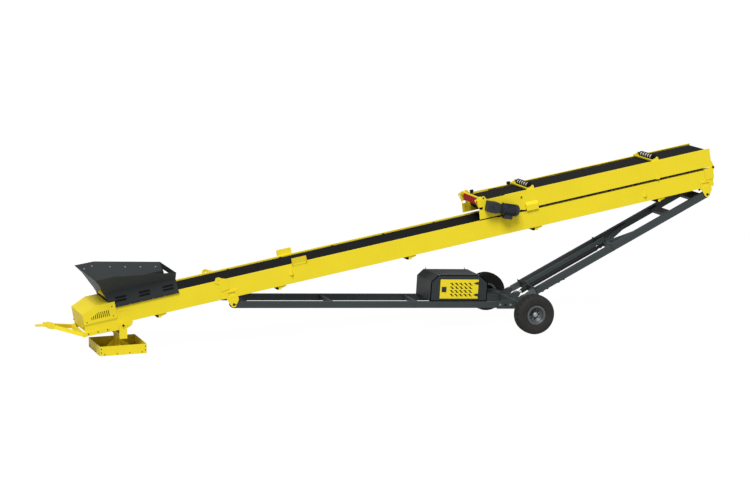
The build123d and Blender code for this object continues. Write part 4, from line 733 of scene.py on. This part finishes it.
class STACKER_OT_head_fittings(bpy.types.Operator):
    """Bolts and pin ends, sleeves of the return rolls, and black strips of painted shade along the gap between the
    folded sections
    """
    bl_idname = "stacker.head_fittings"
    bl_label = "Head fittings"

    ROLLS, ROLL_W, SLEEVES_Y = (1.346, 4.432), -0.4673, [0.120 * i for i in range(-2, 3)]
    SLEEVE, SLEEVE_LENGTH = 0.052, 0.079
    BOLT, BOLTS = 0.014, ((5.638, OVERLAY, -0.46, 0.010), (4.742, HALF + 0.014, -0.297, 0.008))
    HINGE_PIN_END, STOP_PIN, STOP_PIN_END = (0.022, 0.009), (14.182, HALF - 0.02, -0.436), (0.024, 0.026)
    # black strips on the deck's top and on the deck's and head's top edges: painted shade of the gap between the
    # folded sections
    REST = ((9.220, 14.400), (HALF - 0.030, HALF - 0.010), (0.0, 0.023))
    MAIN_TRIM, HEAD_TRIM = (9.220, 14.340), (0.246, 5.366)
    TRIM = ((HALF - 0.003, HALF + 0.0015), (-0.012, LAP / 2))

    def execute(self, context):
        bm = bmesh.new()
        for *at, height in self.BOLTS:
            both_sides(bolt, bm, HEAD, at, self.BOLT, height)
        piece("head_bolts", bm, "head", black_finish)
        bm = bmesh.new()
        at = DECK.inverted() @ HINGE
        both_sides(round_bar, bm, DECK, (at.x, OVERLAY - LAP, at.z), *self.HINGE_PIN_END)
        both_sides(round_bar, bm, DECK, self.STOP_PIN, *self.STOP_PIN_END)
        piece("hinge_pin_ends", bm, "conveyor", black_finish)
        bm = bmesh.new()
        for u in self.ROLLS:
            for y in self.SLEEVES_Y:
                round_bar(bm, HEAD, (u, y - self.SLEEVE_LENGTH / 2, self.ROLL_W), (0, 1, 0), self.SLEEVE,
                          self.SLEEVE_LENGTH, segments=32)
        piece("roll_sleeves", bm, "head", pale_sleeve, smooth=radians(30))
        # Painted shade: black strips along the gap where the head lies folded over the deck
        bm = bmesh.new()
        side_blocks(bm, DECK, *self.REST, bevel=0.004)
        side_blocks(bm, DECK, self.MAIN_TRIM, *self.TRIM)
        piece("rest_strips", bm, "conveyor", belt_rubber)
        bm = bmesh.new()
        side_blocks(bm, HEAD, self.HEAD_TRIM, *self.TRIM)
        piece("head_edge_trims", bm, "head", belt_rubber)
        return {"FINISHED"}


class STACKER_OT_drive(bpy.types.Operator):
    """Gearbox case and finned motor on the head drum"""
    bl_idname = "stacker.drive"
    bl_label = "Drive"

    CASE = ((-0.185, -0.086), (-0.183, 0.108), (-0.170, 0.122), (0.030, 0.122), (0.105, 0.100), (0.148, 0.045),
            (0.150, -0.050), (0.112, -0.105), (0.040, -0.128), (-0.110, -0.128), (-0.165, -0.112))
    BODY = ((0.0, 0.145), (0.100, 0.145), (0.100, 0.170), (0.140, 0.170), (0.140, 0.190), (0.122, 0.192),
            (0.122, 0.450), (0.134, 0.452), (0.134, 0.500), (0.124, 0.530), (0.100, 0.554), (0.062, 0.568),
            (0.0, 0.572))
    BACK, DEPTH, EDGE, HUB_U, HUB, PLUG = -OVERLAY, 0.200, 0.024, -0.072, (0.052, 0.016), (0.020, 0.004)
    MOTOR_Y, MOTOR_W, FINS = -0.6745, -0.010, 28
    FIN = ((0.205, -0.0025, 0.115), (0.446, 0.0025, 0.133))
    TERMINALS = ((0.225, -0.070, -0.206), (0.420, 0.070, -0.090))

    def execute(self, context):
        bm = bmesh.new()
        plate(bm, DRIVE, [(u, self.BACK, w) for u, w in self.CASE], (0, -self.DEPTH, 0))
        face = self.BACK - self.DEPTH
        rim = [e for e in bm.edges if all(abs(v.co.y - face) < 1e-4 for v in e.verts)]
        bmesh.ops.bevel(bm, geom=rim, offset=self.EDGE, offset_type="OFFSET", segments=3, profile=0.5,
                        affect="EDGES", material=-1)
        round_bar(bm, DRIVE, (self.HUB_U, face + 2 * LAP, 0), (0, -1, 0), *self.HUB, segments=32)
        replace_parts(piece("gearbox_case", bm, "head", drive_paint, smooth=radians(32)), "gearbox")
        bm = bmesh.new()
        axis = DRIVE @ Matrix.Translation((0, self.MOTOR_Y, self.MOTOR_W))
        turned(bm, axis, self.BODY)
        for i in range(self.FINS):
            turn = axis @ Matrix.Rotation(tau * (i + 0.5) / self.FINS, 4, "X")
            block(bm, turn, *self.FIN)
        block(bm, axis, *self.TERMINALS, bevel=0.010)
        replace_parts(piece("finned_motor", bm, "head", drive_paint, smooth=radians(32)), "motor")
        bm = bmesh.new()
        round_bar(bm, DRIVE, (self.HUB_U, face - 0.012, 0), (0, -1, 0), *self.PLUG)
        piece("gearbox_plug", bm, "head", black_finish)
        return {"FINISHED"}


class STACKER_OT_legs(bpy.types.Operator):
    """Sleeves, end plate, cylinder, guard and cross plates of the lifting legs"""
    bl_idname = "stacker.legs"
    bl_label = "Legs"

    SHOW, END, LEG_Y, HALF_WIDTH, RISE, WALL = 0.300, 0.376, 0.455, 0.052, 0.075, 0.010
    GUARD = ((SHOW, -0.030, 0.056), (2.430, 0.030, 0.148))
    CROSS_PLATES, CROSS_RISE = ((3.845, 4.025), (4.615, 4.855)), 0.037
    COLLAR, COLLAR_HALF, COLLAR_RISE, ROD_HOLE = 0.016, 0.527, 0.100, 0.056
    BAND, BAND_OVER, BAND_RISE = (2.330, 2.346), 0.020, 0.022
    HUMP = ((0.130, COLLAR_RISE), (0.100, 0.155), (-0.100, 0.155), (-0.130, COLLAR_RISE))
    BARREL = ((0.036, 0.112), (0.050, 0.108), (0.054, 0.114), (0.054, 0.180), (0.051, 0.182), (0.051, 2.120),
              (0.054, 2.122), (0.054, 2.148), (0.048, 2.155), (0.0, 2.155), (0.0, 0.170), (0.036, 0.170))
    TONGUE = ((2.150, -0.015, -0.034), (2.332, 0.015, 0.034))
    EYE_U, EYE, EYE_HALF = 2.250, 0.046, 0.024

    def sleeves(self):
        bm = bmesh.new()
        rise, wall = self.RISE, self.WALL
        for sign in SIDES:
            near, far = sign * self.LEG_Y - self.HALF_WIDTH, sign * self.LEG_Y + self.HALF_WIDTH
            for low, high in (((near, -rise), (near + wall, rise)), ((far - wall, -rise), (far, rise)),
                              ((near, -rise), (far, wall - rise)), ((near, rise - wall), (far, rise))):
                block(bm, LEGS, (self.SHOW, *low), (self.END, *high))
        block(bm, LEGS, *self.GUARD, bevel=0.004)
        reach = self.LEG_Y - self.HALF_WIDTH + LAP
        for u0, u1 in self.CROSS_PLATES:
            block(bm, LEGS, (u0, -reach, -self.CROSS_RISE), (u1, reach, self.CROSS_RISE))
        piece("leg_sleeves", bm, "outer_legs", grey_paint)

    def end_plate(self):
        """Plate at the legs' lower end, with the bands halfway up."""
        bm = bmesh.new()
        half, rise, reach, top = self.HALF_WIDTH, self.RISE, self.COLLAR_HALF, self.COLLAR_RISE
        side_blocks(bm, LEGS, self.BAND, (self.LEG_Y - half - self.BAND_OVER, reach),
                    (rise - LAP, rise + self.BAND_RISE))
        side_blocks(bm, LEGS, self.BAND, (self.LEG_Y + half - LAP, reach), (-rise, rise))
        u = self.SHOW - self.COLLAR
        outline = [(-reach, -top), (reach, -top), (reach, top), *self.HUMP, (-reach, top)]
        inner_y, inner_w = half - self.WALL + LAP, rise - self.WALL + LAP
        holes = [[(u, sign * self.LEG_Y + a * inner_y, b * inner_w) for a, b in ((-1, -1), (1, -1), (1, 1), (-1, 1))]
                 for sign in SIDES]
        holes.append([(u, self.ROD_HOLE * cos(tau * i / 24), self.ROD_HOLE * sin(tau * i / 24)) for i in range(24)])
        pierced(bm, LEGS, [(u, y, w) for y, w in outline], holes, (self.COLLAR, 0, 0))
        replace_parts(piece("leg_end_plate", bm, "outer_legs", grey_paint), "leg_collar")

    def execute(self, context):
        self.sleeves()
        self.end_plate()
        bm = bmesh.new()
        turned(bm, LEGS, self.BARREL, steps=40)
        block(bm, LEGS, *self.TONGUE, bevel=0.003)
        round_bar(bm, LEGS, (self.EYE_U, -self.EYE_HALF, 0), (0, 1, 0), self.EYE, 2 * self.EYE_HALF, segments=32)
        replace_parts(piece("lift_cylinder", bm, "outer_legs", black_finish, slot="grey_paint", smooth=radians(35)),
                    "cylinder_barrel")
        return {"FINISHED"}


class STACKER_OT_frame_plates(bpy.types.Operator):
    """Hinge ears, ribs, drawbar block, black plates of painted shade behind the tail vents, and the belt's ends at
    the hinge
    """
    bl_idname = "stacker.frame_plates"
    bl_label = "Frame plates"

    EAR = ((14.436, -0.004), (14.453, 0.008), (14.542, 0.0495), (14.586, 0.0495), (14.621, 0.0145),
           (14.582, -0.060), (14.574, -0.250), (14.348, -0.250), (14.348, -0.012), (14.436, -0.012))
    MAIN_RIBS, HEAD_RIBS = ((4.338, -0.012), (12.820, -0.086)), ((1.398, -0.219), (4.707, -0.219))
    RIB_LENGTH, RIB_DEPTH, RIB_WIDTH = 0.215, 0.062, 0.110
    BELT = ((0.150, -0.1177), (0.3766, -0.012), (0.3808, -0.0211), (0.1522, -0.1277))
    MAIN_BELT_END, HEAD_BELT_END, BELT_END = 14.493, 0.041, 0.052
    EAR_EYE, PIN, PIN_LENGTH, PIN_INSET = 0.035, 0.0199, 0.030, 0.028
    DRAW_BLOCK = ((0.570, -0.120, -0.054), (0.7195, 0.120, 0.054))
    # black plates behind the tail vents: painted shade that makes the vents' hollows read dark
    VENT = ((-0.160, 0.262), (HALF - LAP, HALF + 0.003), (-0.215, -0.068))

    def rib(self, bm, place, u, w, reach):
        """Wedge on both side panels, from its tip to its foot."""
        for sign in SIDES:
            corners = ((u, HALF - LAP, w), (u - self.RIB_WIDTH / 2, HALF - LAP, w + reach),
                       (u + self.RIB_WIDTH / 2, HALF - LAP, w + reach), (u, HALF + self.RIB_DEPTH, w + reach))
            made = [bm.verts.new(place @ Vector((a, sign * y, h))) for a, y, h in corners]
            bmesh.ops.convex_hull(bm, input=made)

    def belt_end(self, name, body, place, u):
        bm = bmesh.new()
        section = [*self.BELT, *((-y, w) for y, w in reversed(self.BELT))]
        plate(bm, place, [(u, y, w) for y, w in section], (self.BELT_END, 0, 0))
        piece(name, bm, body, belt_rubber)

    def execute(self, context):
        hinge = DECK.inverted() @ HINGE
        bm = bmesh.new()
        for sign in SIDES:
            plate(bm, DECK, [(u, sign * HALF, w) for u, w in self.EAR], (0, sign * (OVERLAY - HALF), 0))
        both_sides(round_bar, bm, DECK, (hinge.x, HALF, hinge.z), self.EAR_EYE, OVERLAY - HALF, segments=40)
        both_sides(round_bar, bm, DECK, (hinge.x, HALF - self.PIN_INSET, hinge.z), self.PIN, self.PIN_LENGTH)
        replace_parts(piece("hinge_ears", bm, "conveyor", yellow_paint), "main_hinge_ears")
        bm = bmesh.new()
        for u, w in self.MAIN_RIBS:
            self.rib(bm, DECK, u, w, -self.RIB_LENGTH)
        block(bm, DRAW, *self.DRAW_BLOCK, bevel=0.010)
        piece("frame_ribs", bm, "conveyor", yellow_paint)
        bm = bmesh.new()
        for u, w in self.HEAD_RIBS:
            self.rib(bm, HEAD, u, w, self.RIB_LENGTH)
        piece("head_ribs", bm, "head", yellow_paint)
        # Painted shade: black plates behind the tail vents stand in for the shade inside them
        bm = bmesh.new()
        side_blocks(bm, DECK, *self.VENT)
        piece("vent_backs", bm, "conveyor", black_finish)
        self.belt_end("main_belt_end", "conveyor", DECK, self.MAIN_BELT_END)
        self.belt_end("head_belt_end", "head", HEAD, self.HEAD_BELT_END)
        return {"FINISHED"}


class STACKER_OT_stage(bpy.types.Operator):
    """White floor, soft light and the camera"""
    bl_idname = "stacker.stage"
    bl_label = "Studio"

    FLOOR_SIZE, FLOOR_X, FLOOR_Z, FLOOR_GLOW, GLOW_SHARE = 400, 6, -0.002, 1.05, 0.93
    WHITE, KEY_AIM, KEY_SPREAD = (1, 1, 1, 1), (0.28, 0.58, -0.78), radians(28)

    def seen_by(self, tree, *rays):
        """Socket that is 1 for rays of the given kinds."""
        path = tree.nodes.new("ShaderNodeLightPath")
        seen = path.outputs[rays[0]]
        for ray in rays[1:]:
            either = tree.nodes.new("ShaderNodeMath")
            either.operation = "MAXIMUM"
            tree.links.new(seen, either.inputs[0])
            tree.links.new(path.outputs[ray], either.inputs[1])
            seen = either.outputs[0]
        return seen

    def blend(self, tree, share, first, second, output):
        """Mix two shaders by a share and send them to the output."""
        mix = tree.nodes.new("ShaderNodeMixShader")
        for source, target in zip((share, first, second), mix.inputs):
            tree.links.new(source, target)
        tree.links.new(mix.outputs["Shader"], tree.nodes[output].inputs["Surface"])

    def floor(self):
        bm = bmesh.new()
        bmesh.ops.create_grid(bm, x_segments=1, y_segments=1, size=self.FLOOR_SIZE,
                              matrix=Matrix.Translation((self.FLOOR_X, 0, self.FLOOR_Z)))
        mesh = bpy.data.meshes.new("studio_floor")
        bm.to_mesh(mesh)
        bm.free()
        made = linked("studio_floor", mesh)
        white = bpy.data.materials.new("studio white")
        white.use_nodes = True
        tree = white.node_tree
        bsdf = with_inputs(tree.nodes["Principled BSDF"], {"Base Color": (0.5, 0.5, 0.5, 1), "Roughness": 0.9,
                                                           "Specular IOR Level": 0.0})
        glow = with_inputs(tree.nodes.new("ShaderNodeEmission"), {"Strength": self.FLOOR_GLOW})
        share = with_inputs(tree.nodes.new("ShaderNodeMath"), {1: self.GLOW_SHARE})
        share.operation = "MULTIPLY"
        seen = self.seen_by(tree, "Is Camera Ray", "Is Glossy Ray", "Is Transmission Ray")
        tree.links.new(seen, share.inputs[0])
        self.blend(tree, share.outputs[0], bsdf.outputs["BSDF"], glow.outputs["Emission"], "Material Output")
        made.data.materials.append(white)

    def world(self, stage):
        world = bpy.data.worlds.new("studio sky")
        bpy.context.scene.world = world
        world.use_nodes = True
        tree = world.node_tree
        lit = with_inputs(tree.nodes["Background"], {"Color": self.WHITE, "Strength": stage.sky})
        white = with_inputs(tree.nodes.new("ShaderNodeBackground"), {"Color": self.WHITE, "Strength": 1.0})
        seen = self.seen_by(tree, "Is Camera Ray", "Is Transmission Ray")
        self.blend(tree, seen, lit.outputs["Background"], white.outputs["Background"], "World Output")

    def execute(self, context):
        stage = context.scene.stacker_stage
        self.floor()
        self.world(stage)
        lamp = bpy.data.lights.new("key", "SUN")
        lamp.energy = stage.key
        lamp.angle = self.KEY_SPREAD
        key = linked("key", lamp)
        key.rotation_mode = "QUATERNION"
        key.rotation_quaternion = Vector(self.KEY_AIM).to_track_quat("-Z", "Y")
        camera = linked("view", bpy.data.cameras.new("view"))
        camera.data.lens = stage.lens
        camera.data.sensor_width = 36
        camera.data.clip_end = 1000
        a, e = stage.azimuth, stage.elevation
        back = Vector((sin(a) * cos(e), -cos(a) * cos(e), sin(e)))
        camera.location = Vector(stage.target) + back * stage.distance
        camera.rotation_mode = "QUATERNION"
        camera.rotation_quaternion = (-back).to_track_quat("-Z", "Y")
        context.scene.camera = camera
        context.scene.view_settings.view_transform = "Standard"
        return {"FINISHED"}


class STACKER_PT_dressing(bpy.types.Panel):
    """Lists the steps and the values they use"""
    bl_idname = "STACKER_PT_dressing"
    bl_label = "Stacker Dressing"
    bl_space_type = "VIEW_3D"
    bl_region_type = "UI"
    bl_category = "Stacker"

    def draw(self, context):
        for operator in OPERATORS:
            self.layout.operator(operator.bl_idname)
        for group in (context.scene.stacker_finishes, context.scene.stacker_sizes, context.scene.stacker_stage):
            for name in group.__annotations__:
                self.layout.prop(group, name)


OPERATORS = (STACKER_OT_finishes, STACKER_OT_tyres, STACKER_OT_hubs, STACKER_OT_tail_bolts, STACKER_OT_foot_bolts,
             STACKER_OT_hopper, STACKER_OT_axle_bolts, STACKER_OT_pack_fittings, STACKER_OT_head_fittings,
             STACKER_OT_drive, STACKER_OT_legs, STACKER_OT_frame_plates, STACKER_OT_stage)
GROUPS = {"stacker_finishes": StackerFinishes, "stacker_sizes": StackerSizes, "stacker_stage": StackerStage}


def register():
    for name, group in GROUPS.items():
        bpy.utils.register_class(group)
        setattr(bpy.types.Scene, name, PointerProperty(type=group))
    for operator in OPERATORS:
        bpy.utils.register_class(operator)
    bpy.utils.register_class(STACKER_PT_dressing)


def unregister():
    bpy.utils.unregister_class(STACKER_PT_dressing)
    for operator in reversed(OPERATORS):
        bpy.utils.unregister_class(operator)
    for name, group in GROUPS.items():
        delattr(bpy.types.Scene, name)
        bpy.utils.unregister_class(group)


def main():
    register()
    bpy.ops.stacker.finishes()
    bpy.ops.stacker.tyres()
    bpy.ops.stacker.hubs()
    bpy.ops.stacker.tail_bolts()
    bpy.ops.stacker.foot_bolts()
    bpy.ops.stacker.hopper()
    bpy.ops.stacker.axle_bolts()
    bpy.ops.stacker.pack_fittings()
    bpy.ops.stacker.head_fittings()
    bpy.ops.stacker.drive()
    bpy.ops.stacker.legs()
    bpy.ops.stacker.frame_plates()
    bpy.ops.stacker.stage()


if __name__ == "__main__":
    main()
